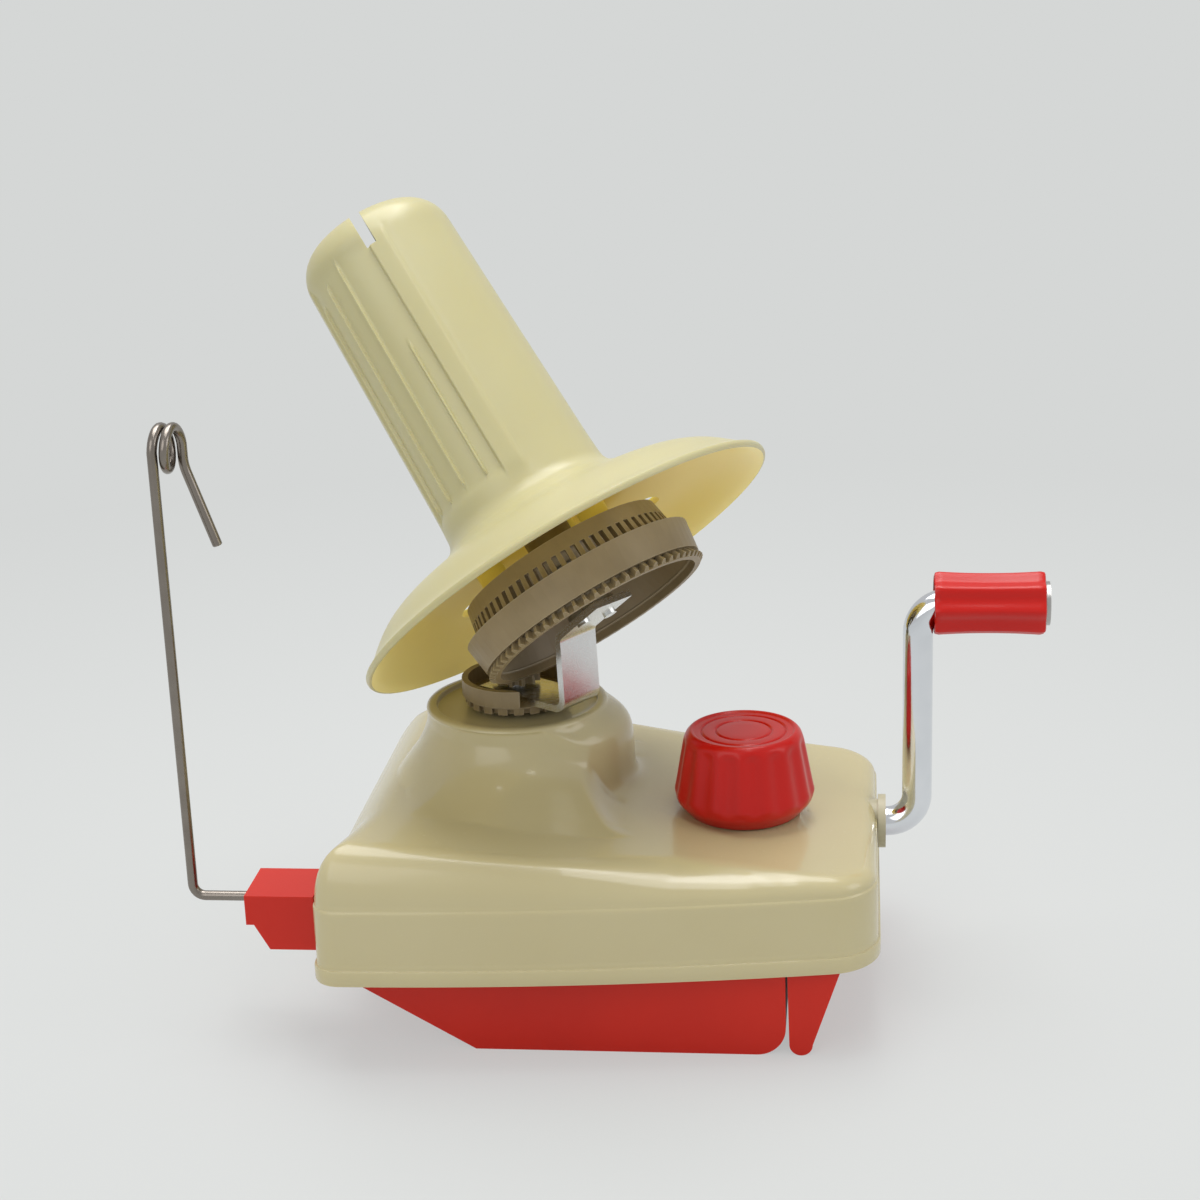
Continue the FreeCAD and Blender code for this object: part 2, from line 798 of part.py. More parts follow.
def crank_grip():
    """Waisted grip with broad flutes, turning on the rod's end."""
    left = grip_left
    right = grip_left + grip_length
    middle = (left + right) / 2
    waist = grip_radius - grip_waist
    stations = [
        (left, grip_radius - 0.8), (left + 0.8, grip_radius), (middle, waist),
        (right - 0.8, grip_radius), (right, grip_radius - 0.8),
    ]
    sections = [fluted_outline(radius, grip_flute_depth, grip_flutes, z) for z, radius in stations]
    body = facet_stack(sections)
    recess = cylinder(grip_recess_radius, left - 1, left + grip_recess_depth)
    bore = cylinder(crank_radius + running_clearance, left - 1, right + 1)
    body = body.cut(Part.makeCompound([recess, bore]))
    body.rotate(vector(0, 0, 0), back, 90)
    return body.translated(vector(0, neck_y, base + grip_height))


def grip_rivet():
    """Riveted washer that keeps the grip on the rod."""
    start = grip_left + grip_length + 0.1
    return rod_x(rivet_head_radius, start, start + rivet_head_height, neck_y, base + grip_height)


def shaft_collar():
    start = housing_half_length - bush_length - collar_width - 0.3
    ring = rod_x(collar_radius, start, start + collar_width, neck_y, base + shaft_height)
    return ring.cut(rod_x(crank_radius + seat_clearance, start - 1, start + collar_width + 1,
                          neck_y, base + shaft_height))


def crown_gear():
    """Face gear on the shaft, its teeth pointing at the spindle."""
    outer = crown_pitch_radius + crown_rim_overhang
    hub_end = crown_disc + crown_hub_length
    bore = crank_radius + seat_clearance
    disc = facet_revolve([
        (bore, 0), (outer, 0), (outer, crown_disc), (crown_hub_radius, crown_disc),
        (crown_hub_radius, hub_end), (bore, hub_end),
    ], 2 * crown_teeth)
    sections = []
    for radius in (outer - crown_face, outer):
        sections.append([
            vector(radius, -drive_tooth_base / 2, 0.2),
            vector(radius, -drive_tooth_tip / 2, -drive_addendum - drive_dedendum),
            vector(radius, drive_tooth_tip / 2, -drive_addendum - drive_dedendum),
            vector(radius, drive_tooth_base / 2, 0.2),
        ])
    tooth = frustum_tooth(sections[0], sections[1])
    gear = disc.fuse(ring_of(tooth, crown_teeth, start=180.0 / crown_teeth))
    gear.rotate(vector(0, 0, 0), back, 90)
    gear = gear.removeSplitter().translated(vector(crown_root_x, neck_y, base + shaft_height))
    return gear.cut(pin_hole())


def pin_rod(radius, beyond):
    x = crown_root_x + crown_disc + crown_hub_length / 2
    reach = crown_hub_radius - 0.4 + beyond
    return cylinder(radius, base + shaft_height - reach, base + shaft_height + reach, x, neck_y)


def pin_hole():
    return pin_rod(gear_pin_radius + seat_clearance, 3.0)


def gear_pin():
    """Cross pin that locks the crown gear to the shaft."""
    return pin_rod(gear_pin_radius, 0.0)


def spindle():
    """Hollow spindle with the drive pinion at its foot."""
    top = bracket_leg_top - bracket_thickness
    tube_part = cylinder(spindle_radius, pinion_top(), top)
    root = pinion_pitch_radius - drive_dedendum
    core = cylinder(root, spindle_foot, pinion_top())
    tip = pinion_pitch_radius + drive_addendum
    tooth_outline = [
        vector(root - 0.4, -drive_tooth_base / 2, spindle_foot),
        vector(tip, -drive_tooth_tip / 2, spindle_foot),
        vector(tip, drive_tooth_tip / 2, spindle_foot),
        vector(root - 0.4, drive_tooth_base / 2, spindle_foot),
    ]
    face = Part.Face(Part.makePolygon(tooth_outline + tooth_outline[:1]))
    tooth = face.extrude(vector(0, 0, pinion_top() - spindle_foot))
    body = tube_part.fuse([core] + ring_of(tooth, pinion_teeth)).removeSplitter()
    body = body.cut(cylinder(post_radius + running_clearance, 0, neck_height + 20))
    return body.translated(vector(neck_x, neck_y, base))


def pinion_top():
    return shaft_height + crown_pitch_radius + crown_rim_overhang + pinion_overlap


def flyer_cup():
    """Small open cup round the sun pinion, cut away where the bracket leaves it."""
    seat = bracket_leg_top - bracket_thickness
    bore = spindle_radius + seat_clearance
    body = facet_revolve([
        (bore, cup_foot), (cup_radius - 0.8, cup_foot), (cup_radius - 0.8, cup_band_bottom),
        (cup_radius, cup_band_bottom), (cup_radius, cup_rim), (cup_radius - cup_wall, cup_rim),
        (cup_radius - cup_wall, seat), (bore, seat),
    ], 2 * cup_castle_count)
    slot = block(cup_radius - 0.8 - cup_castle_depth, cup_radius + 1, -cup_castle_width / 2,
                 cup_castle_width / 2, cup_foot - 1, cup_band_bottom - 0.6)
    notch = block(0, cup_radius + 1, -cup_notch_width / 2, cup_notch_width / 2, seat, cup_rim + 1)
    cuts = ring_of(slot, cup_castle_count) + [notch]
    return placed(body.cut(Part.makeCompound(cuts)), flyer_frame)


def arm_level():
    """Height along the bobbin axis of the bracket arm's upper face."""
    return dish_lip + 0.4


def along_bobbin(height, sideways=0.0):
    """Point in the flyer's XZ plane at a height on the bobbin axis and a distance down from it."""
    to_apex = rim_to_apex - height
    x = to_apex * math.sin(tilt) - sideways * math.cos(tilt)
    z = apex_height - to_apex * math.cos(tilt) - sideways * math.sin(tilt)
    return vector(x, 0, z)


def bracket():
    """Bright strip bent from the cup up and across the bobbin's axis."""
    half = bracket_thickness / 2
    leg_z = bracket_leg_top - half
    arm_mid = arm_level() - half
    far_end = along_bobbin(arm_mid, -arm_beyond)
    direction = (along_bobbin(arm_mid, -1) - along_bobbin(arm_mid, 0)).normalize()
    centre = along_bobbin(arm_mid)
    upright_x = bracket_reach_high
    corner = centre + direction * ((upright_x - centre.x) / direction.x)
    path = bent_path([
        (-bracket_width / 2, 0, leg_z),
        (bracket_reach_low, 0, leg_z),
        (corner.x, 0, corner.z),
        (far_end.x, 0, far_end.z),
    ], bracket_bend)
    section = Part.makePolygon([
        vector(-bracket_width / 2, -bracket_width / 2, leg_z - half),
        vector(-bracket_width / 2, bracket_width / 2, leg_z - half),
        vector(-bracket_width / 2, bracket_width / 2, leg_z + half),
        vector(-bracket_width / 2, -bracket_width / 2, leg_z + half),
        vector(-bracket_width / 2, -bracket_width / 2, leg_z - half),
    ])
    strip = path.makePipeShell([section], True, False)
    strip = placed(strip, flyer_frame)
    holes = [placed(cylinder(post_radius + running_clearance, 0, sun_bottom), flyer_frame)]
    for side in (-1, 1):
        rivet_hole = prism(arm_rivet_radius + seat_clearance, arm_level() - 5, arm_level() + 2,
                           0, side * arm_rivet_spacing / 2)
        holes.append(placed(rivet_hole, bobbin_frame))
    return strip.cut(Part.makeCompound(holes))


def bobbin_shell():
    """Sleeve and saucer flange in one moulding, open underneath."""
    outside = [(flange_radius, 0.0)] + list(saucer_shape)
    outside += [(sleeve_foot_radius, sleeve_foot), (sleeve_top_radius, sleeve_shoulder)]
    for turn in (30, 60, 90):
        side = end_round * (1 - math.cos(math.radians(turn)))
        rise = (sleeve_top - sleeve_shoulder) * math.sin(math.radians(turn))
        outside.append((sleeve_top_radius - side, sleeve_shoulder + rise))
    outside.append((0, sleeve_top))
    knee = saucer_shape[2]
    throat = saucer_shape[4]
    inside = [
        (0, sleeve_top - sleeve_wall),
        (sleeve_top_radius - end_round, sleeve_top - sleeve_wall),
        (sleeve_top_radius - sleeve_wall, sleeve_shoulder),
        (sleeve_foot_radius - sleeve_wall, sleeve_foot - 1.0),
        (throat[0] - flange_thickness, throat[1] - flange_thickness),
        (knee[0] - 0.4, knee[1] - flange_thickness),
        (flange_radius - 0.8, -0.9 * flange_thickness),
    ]
    return facet_revolve(outside + inside, bobbin_sides)


def bobbin():
    body = bobbin_shell()
    extras = []
    boss = prism(gear_boss_radius, dish_top, sleeve_foot + 6, gear_screw_circle, 0)
    extras += ring_of(boss, gear_screw_count, start=gear_screw_first_angle)
    mean_radius = (sleeve_foot_radius + sleeve_top_radius) / 2
    slope = math.degrees(math.atan2(sleeve_foot_radius - sleeve_top_radius, sleeve_shoulder - sleeve_foot))
    rib = block(mean_radius - 1.0, mean_radius + rib_height, -rib_width / 2, rib_width / 2,
                rib_bottom, rib_top)
    rib.rotate(vector(mean_radius, 0, (sleeve_foot + sleeve_shoulder) / 2), back, -slope)
    for index in range(rib_count):
        copy = rib.copy()
        copy.rotate(vector(0, 0, 0), up, rib_first_angle + rib_pitch_angle * index)
        extras.append(copy)
    body = body.fuse(extras)
    cuts = []
    straight = (flange_hole_long - flange_hole_wide) / 2
    slot = block(-straight, straight, -flange_hole_wide / 2, flange_hole_wide / 2, 0, sleeve_foot)
    ends = [cylinder(flange_hole_wide / 2, 0, sleeve_foot, side * straight, 0) for side in (-1, 1)]
    hole = slot.fuse(ends).removeSplitter()
    hole.rotate(vector(0, 0, 0), up, 90)
    hole.translate(vector(flange_hole_radius, 0, 0))
    cuts += ring_of(hole, flange_hole_count, start=flange_hole_start)
    slit = block(0, sleeve_foot_radius + 3, -slit_width / 2, slit_width / 2,
                 sleeve_top - slit_depth, sleeve_top + 1)
    slit = slit.cut(cylinder(sleeve_top_radius - 6.0, 0, sleeve_top + 2))
    slit.rotate(vector(0, 0, 0), up, slit_angle)
    cuts.append(slit)
    screw_hole = prism(gear_screw_radius + seat_clearance, dish_top - 1, dish_top + 9,
                       gear_screw_circle, 0)
    cuts += ring_of(screw_hole, gear_screw_count, start=gear_screw_first_angle)
    return placed(body.cut(Part.makeCompound(cuts)), bobbin_frame)


def bobbin_gear():
    """Dish with a slotted ring above its band and fine bevel teeth below its lip."""
    depth_low = (bevel_slant_end * math.cos(gear_cone)) + 0.6
    depth_high = rim_to_apex - dish_lip
    tooth_ring_low = rim_to_apex - depth_low
    bush = axle_radius + running_clearance + axle_bush_wall + seat_clearance
    body = facet_revolve([
        (dish_inner_radius, dish_lip + 0.3),
        (dish_inner_radius - 0.3, tooth_ring_low),
        (root_radius(gear_cone, depth_low), tooth_ring_low),
        (root_radius(gear_cone, depth_high), dish_lip),
        (dish_lip_radius, dish_lip),
        (dish_band_radius, dish_band_top),
        (dish_ring_radius, dish_band_top),
        (dish_ring_top_radius, dish_top),
        (dish_hub_radius + 1.5, dish_top),
        (dish_hub_radius, dish_top + 1.5),
        (dish_hub_radius, dish_hub_top),
        (bush, dish_hub_top),
        (bush, dish_top - dish_floor),
        (dish_ring_top_radius - dish_ring_wall, dish_top - dish_floor),
        (dish_ring_radius - dish_ring_wall, dish_band_top),
    ], bobbin_teeth)
    tooth = bevel_tooth(gear_cone, bevel_slant_start, bevel_slant_end)
    tooth.translate(vector(0, 0, rim_to_apex))
    half_step = 180.0 / bobbin_teeth
    teeth = ring_of(tooth, bobbin_teeth, start=half_step)
    body = body.fuse(teeth).removeSplitter()
    slot = block(dish_ring_radius - 2 * dish_ring_wall, dish_ring_radius + 1, -dish_slot_width / 2,
                 dish_slot_width / 2, dish_band_top, dish_slot_top)
    cuts = ring_of(slot, bobbin_teeth)
    hole = prism(gear_screw_radius + 0.2, -5, 10, gear_screw_circle, 0)
    cuts += ring_of(hole, gear_screw_count, start=gear_screw_first_angle)
    return placed(body.cut(Part.makeCompound(cuts)), bobbin_frame)


def gear_screws():
    floor = dish_top - dish_floor
    shank = prism(gear_screw_radius, floor, dish_top + 8, gear_screw_circle, 0)
    head = prism(gear_screw_head, floor - 1.4, floor, gear_screw_circle, 0)
    screws = ring_of(shank.fuse(head), gear_screw_count, start=gear_screw_first_angle)
    return [placed(screw, bobbin_frame) for screw in screws]


def bobbin_bush():
    inner = axle_radius + running_clearance
    return placed(tube(inner + axle_bush_wall, inner, dish_top - dish_floor, dish_hub_top), bobbin_frame)


def bobbin_axle():
    foot = cylinder(axle_foot_radius, arm_level(), arm_level() + axle_foot)
    pin = cylinder(axle_radius, arm_level(), dish_hub_top + 4)
    shoulder = cylinder(axle_radius + 1.6, arm_level(), dish_top - dish_floor - 0.3)
    cuts = [prism(arm_rivet_radius + seat_clearance, arm_level() - 1, arm_level() + 5,
                  0, side * arm_rivet_spacing / 2) for side in (-1, 1)]
    return placed(foot.fuse([pin, shoulder]).cut(Part.makeCompound(cuts)), bobbin_frame)


def arm_rivets():
    rivets = []
    for side in (-1, 1):
        y = side * arm_rivet_spacing / 2
        low = arm_level() - bracket_thickness
        shank = prism(arm_rivet_radius, low, arm_level() + axle_foot, 0, y)
        head = prism(arm_rivet_radius + 0.8, low - 0.8, low, 0, y)
        rivets.append(placed(shank.fuse(head), bobbin_frame))
    return rivets


def axle_ring():
    low = dish_hub_top + 0.4
    return placed(tube(axle_radius + 2.4, axle_radius + seat_clearance, low, low + 1.0), bobbin_frame)


def clamp_knob():
    """Tapered knob with soft flutes and two rings sunk in its top."""
    stations = [
        (knob_foot_height, knob_foot_radius, 0.0),
        (knob_foot_height + 1.4, knob_foot_radius + 0.6, 0.0),
        (knob_wide_height - 2.6, knob_radius - 0.8, knob_flute_depth / 2),
        (knob_wide_height, knob_radius, knob_flute_depth),
        (knob_top_height - 2.2, knob_top_radius + 1.6, knob_flute_depth / 2),
        (knob_top_height, knob_top_radius, 0.0),
    ]
    sections = [fluted_outline(radius, depth, knob_flutes, z) for z, radius, depth in stations]
    body = facet_stack(sections)
    cuts = [cylinder(screw_radius + seat_clearance, knob_foot_height - 1, knob_top_height - 6)]
    low = knob_top_height - knob_ring_depth
    for radius in knob_ring_radii:
        outer = prism(radius + knob_ring_width / 2, low, knob_top_height + 1, sides=24)
        inner = prism(radius - knob_ring_width / 2, low - 1, knob_top_height + 2, sides=24)
        cuts.append(outer.cut(inner))
    return body.cut(Part.makeCompound(cuts)).translated(vector(clamp_x, clamp_y, base))


def clamp_screw():
    return cylinder(screw_radius, -screw_end_drop, knob_top_height - 6.2, clamp_x, clamp_y).translated(
        vector(0, 0, base))


def screw_clip():
    low = knob_boss_bottom - 0.2 - clip_thickness
    ring = tube(clip_radius, screw_radius + seat_clearance, low, low + clip_thickness, clamp_x, clamp_y)
    return ring.translated(vector(0, 0, base))


def jaw_outline(inset, top):
    """Side view of the jaw: a slope at the left, a flat floor and a rounded right corner."""
    low = -jaw_drop + inset
    right = jaw_right_x - inset
    radius = max(jaw_corner - inset, 1.0)
    slope_x = jaw_slope_left + inset
    slope_z = -jaw_drop + jaw_slope_top
    diagonal = radius * (1 - math.sqrt(0.5))
    corner_mid = vector(right - diagonal, 0, low + diagonal)
    points = [
        vector(slope_x - 1.0, 0, top),
        vector(slope_x, 0, slope_z),
        vector(jaw_floor_left + 0.5 * inset, 0, low),
        vector(right - radius, 0, low),
    ]
    edges = [Part.LineSegment(a, b).toShape() for a, b in zip(points, points[1:])]
    edges.append(Part.Arc(points[-1], corner_mid, vector(right, 0, low + radius)).toShape())
    edges.append(Part.LineSegment(vector(right, 0, low + radius), vector(right, 0, top)).toShape())
    edges.append(Part.LineSegment(vector(right, 0, top), points[0]).toShape())
    return Part.Face(Part.Wire(edges))


def jaw_solid(inset, top):
    half = jaw_half_depth - inset
    face = jaw_outline(inset, top)
    face.translate(vector(0, -half, 0))
    return face.extrude(vector(0, 2 * half, 0))


def clamp_jaw():
    rim = -jaw_rim_gap
    trough = jaw_solid(0.0, rim).cut(jaw_solid(jaw_wall, rim + 5))
    half = tower_width / 2
    tower = block(clamp_x - half, clamp_x + half, clamp_y - half, clamp_y + half,
                  -jaw_drop + jaw_wall - 0.5, tower_top)
    low = -jaw_drop + jaw_wall - 0.5
    inner = jaw_solid(jaw_wall - 0.5, rim)
    ribs = []
    for x in jaw_rib_places:
        ribs.append(block(x - jaw_rib / 2, x + jaw_rib / 2, -jaw_half_depth, jaw_half_depth,
                          low, -jaw_drop + jaw_rib_height))
    ribs.append(block(jaw_spine_left, clamp_x - half, clamp_y - jaw_rib / 2, clamp_y + jaw_rib / 2,
                      low, -jaw_drop + jaw_rib_height / 2))
    body = trough.fuse([rib.common(inner) for rib in ribs] + [tower])
    nut_half = nut_width / 2 + seat_clearance
    cuts = [
        cylinder(screw_radius + 0.6, -jaw_drop + jaw_wall + 1, tower_top + 1, clamp_x, clamp_y),
        block(clamp_x - nut_half, clamp_x + nut_half, clamp_y - nut_half, clamp_y + nut_half,
              tower_top - nut_height - seat_clearance, tower_top + 1),
    ]
    return body.cut(Part.makeCompound(cuts)).removeSplitter().translated(vector(0, 0, base))


def jaw_nut():
    half = nut_width / 2
    body = block(clamp_x - half, clamp_x + half, clamp_y - half, clamp_y + half,
                 tower_top - nut_height, tower_top)
    bore = cylinder(screw_radius + running_clearance, -5, tower_top + 1, clamp_x, clamp_y)
    return body.cut(bore).translated(vector(0, 0, base))


def guide_holder():
    """Red block on the left wall, stepped underneath, with a tongue through the wall."""
    corners = [
        (-housing_half_length, holder_low), (holder_step_end_x, holder_low),
        (holder_step_x, holder_high_foot), (holder_left_x, holder_high_foot),
        (holder_left_x, holder_top), (-housing_half_length, holder_top),
    ]
    outline = [vector(x, holder_near_y, z) for x, z in corners]
    body = Part.Face(Part.makePolygon(outline + outline[:1])).extrude(
        vector(0, holder_far_y - holder_near_y, 0))
    tongue = block(-housing_half_length - 1, -housing_half_length + tongue_length,
                   holder_near_y + tongue_inset, holder_far_y - tongue_inset,
                   holder_low + tongue_inset, holder_top - tongue_inset)
    bore = rod_x(wire_radius + running_clearance, holder_left_x - 1, holder_left_x + wire_depth + 0.3,
                 guide_y, wire_height)
    notch = block(-housing_half_length - 3.2, -housing_half_length - 1.6, holder_near_y - 1,
                  holder_near_y + 2.0, holder_top - 3.4, holder_top + 1)
    return body.fuse(tongue).cut(bore).cut(notch).removeSplitter().translated(vector(0, 0, base))


def guide_wire():
    """Bent wire with a coiled eye at its top and a free limb that hangs down from it."""
    stub_end = holder_left_x - 1.0
    stub = rod_x(wire_radius, stub_end, holder_left_x + wire_depth, guide_y, wire_height)
    stem = bent_path([
        (stub_end, guide_y, wire_height),
        (wire_x, guide_y, wire_height),
        (wire_x, guide_y, wire_top),
    ], wire_bend)
    edges = list(stem.Edges)
    near = vector(wire_x, guide_y, wire_top)
    side = 1
    for half_turn in range(eye_half_turns):
        centre = near + vector(eye_pitch / 4, side * eye_radius, 0)
        far = near + vector(eye_pitch / 2, side * 2 * eye_radius, 0)
        edges.append(Part.Arc(near, centre + vector(0, 0, side * eye_radius), far).toShape())
        near = far
        side = -side
    limb = bent_path([
        (near.x, near.y, near.z),
        (near.x, near.y, near.z - limb_straight),
        (limb_end_x, near.y, limb_end_height),
    ], limb_bend)
    edges += limb.Edges
    bar = sweep_faceted(Part.Wire(edges), wire_radius, wire_sides)
    return stub.fuse(bar).translated(vector(0, 0, base))


def save(name, shape):
    solids = shape.Solids
    if len(solids) == 1:
        shape = solids[0]
    print(name, len(solids), "solid", round(shape.Volume, 1), "valid", shape.isValid())
    shape.exportStep("parts/" + name + ".step")


os.makedirs("parts", exist_ok=True)
save("upper_housing", upper_housing())
save("bottom_cover", bottom_cover())
for number, screw in enumerate(cover_screws(), 1):
    save("cover_screw_" + str(number), screw)
save("neck_bush", neck_bush())
save("crank_bush", crank_bush())
save("shaft_bearing", shaft_bearing())
save("fixed_post", fixed_post())
save("sun_pinion", sun_pinion())
save("guide_holder", guide_holder())
save("guide_wire", guide_wire())
save("crank_rod", crank_rod())
save("crank_grip", crank_grip())
save("grip_rivet", grip_rivet())
save("shaft_collar", shaft_collar())
save("crown_gear", crown_gear())
save("gear_pin", gear_pin())
save("spindle", spindle())
save("flyer_cup", flyer_cup())
save("bracket", bracket())
save("bobbin_axle", bobbin_axle())
for number, rivet in enumerate(arm_rivets(), 1):
    save("arm_rivet_" + str(number), rivet)
save("axle_ring", axle_ring())
save("bobbin", bobbin())
save("bobbin_gear", bobbin_gear())
for number, screw in enumerate(gear_screws(), 1):
    save("gear_screw_" + str(number), screw)
save("bobbin_bush", bobbin_bush())
save("clamp_knob", clamp_knob())
save("clamp_screw", clamp_screw())
save("screw_clip", screw_clip())
save("clamp_jaw", clamp_jaw())
save("jaw_nut", jaw_nut())
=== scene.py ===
import json
import math

import bmesh
import bpy
import numpy as np
from mathutils import Matrix, Vector


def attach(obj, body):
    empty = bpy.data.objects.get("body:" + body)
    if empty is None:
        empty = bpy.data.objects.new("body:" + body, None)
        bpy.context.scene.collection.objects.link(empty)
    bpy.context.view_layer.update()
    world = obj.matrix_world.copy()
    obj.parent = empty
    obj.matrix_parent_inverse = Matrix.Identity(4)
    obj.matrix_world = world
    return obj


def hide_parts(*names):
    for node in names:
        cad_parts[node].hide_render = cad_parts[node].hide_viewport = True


# Hand-cranked yarn ball winder. The CAD frame gives every place, this script gives the looks.
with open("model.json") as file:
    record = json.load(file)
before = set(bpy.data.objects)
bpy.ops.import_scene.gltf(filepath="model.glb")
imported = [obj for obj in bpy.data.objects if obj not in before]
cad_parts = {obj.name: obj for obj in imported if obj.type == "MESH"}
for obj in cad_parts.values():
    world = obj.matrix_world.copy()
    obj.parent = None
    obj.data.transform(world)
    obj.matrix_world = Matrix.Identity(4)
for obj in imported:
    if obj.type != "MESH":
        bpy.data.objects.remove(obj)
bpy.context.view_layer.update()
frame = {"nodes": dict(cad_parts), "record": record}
nodes = frame["nodes"]
mm = 0.001
print("frame loaded,", len(nodes), "nodes")


# shader writing
def linear(red, green, blue):
    # screen colour 0..255 to the shader's linear colour
    channels = []
    for value in (red, green, blue):
        value = value / 255.0
        channels.append(value / 12.92 if value <= 0.04045 else ((value + 0.055) / 1.055) ** 2.4)
    return (*channels, 1.0)


class Wire:
    # a socket that can be written into expressions
    def __init__(self, paint, socket):
        self.paint = paint
        self.socket = socket

    def maths(self, operation, first, second=0.0):
        return self.paint.add("ShaderNodeMath", {"operation": operation}, {0: first, 1: second})

    def __add__(self, other):
        return self.maths("ADD", self, other)

    def __sub__(self, other):
        return self.maths("SUBTRACT", self, other)

    def __mul__(self, other):
        return self.maths("MULTIPLY", self, other)

    def __truediv__(self, other):
        return self.maths("DIVIDE", self, other)

    def __radd__(self, other):
        return self.maths("ADD", other, self)

    def __rsub__(self, other):
        return self.maths("SUBTRACT", other, self)

    def clamped(self):
        return self.paint.add("ShaderNodeMath", {"operation": "ADD", "use_clamp": True}, {0: self, 1: 0.0})


class Paint:
    # one material, its nodes added by name
    def __init__(self, name):
        self.material = bpy.data.materials.new(name)
        self.material.use_nodes = True
        self.nodes = self.material.node_tree.nodes
        self.links = self.material.node_tree.links
        self.nodes.clear()
        self.end = self.nodes.new("ShaderNodeOutputMaterial")

    def add(self, kind, settings=None, inputs=None, output=0):
        made = self.nodes.new(kind)
        for key, value in (settings or {}).items():
            if key == "stops":
                self.setStops(made.color_ramp, value)
            else:
                setattr(made, key, value)
        for key, value in (inputs or {}).items():
            if isinstance(value, Wire):
                self.links.new(value.socket, made.inputs[key])
            else:
                made.inputs[key].default_value = value
        return Wire(self, made.outputs[output])

    def setStops(self, ramp, stops):
        while len(ramp.elements) < len(stops):
            ramp.elements.new(0.5)
        for element, (place, colour) in zip(ramp.elements, stops):
            element.position = place
            element.color = colour

    def place(self):
        # object coordinates in millimetres
        coordinates = self.add("ShaderNodeTexCoord", output="Object")
        return self.add("ShaderNodeVectorMath", {"operation": "SCALE"}, {0: coordinates, "Scale": 1000.0})

    def speckle(self, scale, detail=3.0, rough=0.5, stretch=None):
        where = self.place()
        if stretch:
            where = self.add("ShaderNodeVectorMath", {"operation": "MULTIPLY"}, {0: where, 1: stretch})
        return self.add("ShaderNodeTexNoise", {"noise_dimensions": "3D"},
                        {"Vector": where, "Scale": scale, "Detail": detail, "Roughness": rough})

    def blend(self, factor, first, second):
        made = self.nodes.new("ShaderNodeMix")
        made.data_type = "RGBA"
        for index, value in ((0, factor), (6, first), (7, second)):
            if isinstance(value, Wire):
                self.links.new(value.socket, made.inputs[index])
            else:
                made.inputs[index].default_value = value
        return Wire(self, made.outputs[2])

    def edges(self, radius):
        # how worn or exposed an edge is, from the angle between a bevelled and the true normal
        bevel = self.add("ShaderNodeBevel", {"samples": 4}, {"Radius": radius})
        true = self.add("ShaderNodeNewGeometry", output="Normal")
        dot = self.add("ShaderNodeVectorMath", {"operation": "DOT_PRODUCT"}, {0: bevel, 1: true}, "Value")
        return ((1.0 - dot) * 6.0).clamped()

    def bump(self, height, depth, strength=1.0):
        return self.add("ShaderNodeBump", {}, {"Height": height, "Distance": depth, "Strength": strength})

    def surface(self, **inputs):
        named = {key.replace("_", " "): value for key, value in inputs.items()}
        shader = self.add("ShaderNodeBsdfPrincipled", {}, named)
        self.links.new(shader.socket, self.end.inputs["Surface"])
        return self.material


# finishes
plastic = {
    "housing": (192, 182, 143),
    "housingDeep": (184, 172, 128),
    "bobbin": (190, 184, 143),
    "bobbinDeep": (183, 175, 127),
    "red": (204, 38, 18),
    "redDeep": (186, 28, 12),
    "gloss": (194, 18, 6),
    "glossDeep": (176, 12, 4),
    "gear": (154, 137, 104),
    "gearDeep": (122, 105, 74),
    "bush": (190, 184, 158),
}


def mouldedPlastic(name, light, deep, rough, coat, grain=0.02, cloud=0.03, through=0.0, shine=0.5):
    paint = Paint(name)
    drift = paint.speckle(cloud, 2.0)
    fine = paint.speckle(1.7, 4.0, 0.6)
    wear = paint.edges(0.0009)
    tone = paint.blend(drift, linear(*deep), linear(*light))
    pale = tuple(min(value * 1.12, 1.0) for value in linear(*light)[:3]) + (1.0,)
    tone = paint.blend(wear * 0.35, tone, pale)
    relief = paint.speckle(0.35, 2.0) * 0.6 + fine * 0.4
    return paint.surface(
        Base_Color=tone,
        Roughness=rough + (fine - 0.5) * 0.12 + wear * 0.06,
        IOR=1.48,
        Specular_IOR_Level=shine,
        Coat_Weight=coat,
        Coat_Roughness=0.08,
        Subsurface_Weight=through,
        Subsurface_Radius=(0.004, 0.003, 0.0012),
        Subsurface_Scale=1.0,
        Normal=paint.bump(relief, 0.00012, grain),
    )


def gearPlastic(name, light, deep):
    paint = Paint(name)
    drift = paint.speckle(0.08, 3.0)
    rings = paint.speckle(1.1, 3.0, 0.6)
    wear = paint.edges(0.0005)
    tone = paint.blend(drift, linear(*deep), linear(*light))
    tone = paint.blend(wear * 0.5, tone, linear(178, 165, 140))
    return paint.surface(
        Base_Color=tone,
        Roughness=0.36 + rings * 0.14,
        IOR=1.5,
        Normal=paint.bump(rings, 0.0001, 0.12),
    )


def steel(name, tone, rough, lines=None, grain=0.05, tint=(150, 146, 138)):
    # rolled, drawn or plated metal, its fine lines along one axis
    paint = Paint(name)
    lay = paint.speckle(0.9, 4.0, 0.6, lines or (1.0, 1.0, 1.0))
    cloud = paint.speckle(0.12, 2.0)
    wear = paint.edges(0.0004)
    colour = paint.blend(cloud * 0.6, linear(*tone), linear(*tint))
    colour = paint.blend(wear * 0.4, colour, linear(235, 235, 232))
    return paint.surface(
        Base_Color=colour,
        Metallic=1.0,
        Roughness=rough + (lay - 0.5) * 0.16,
        Normal=paint.bump(lay, 0.00006, grain),
    )


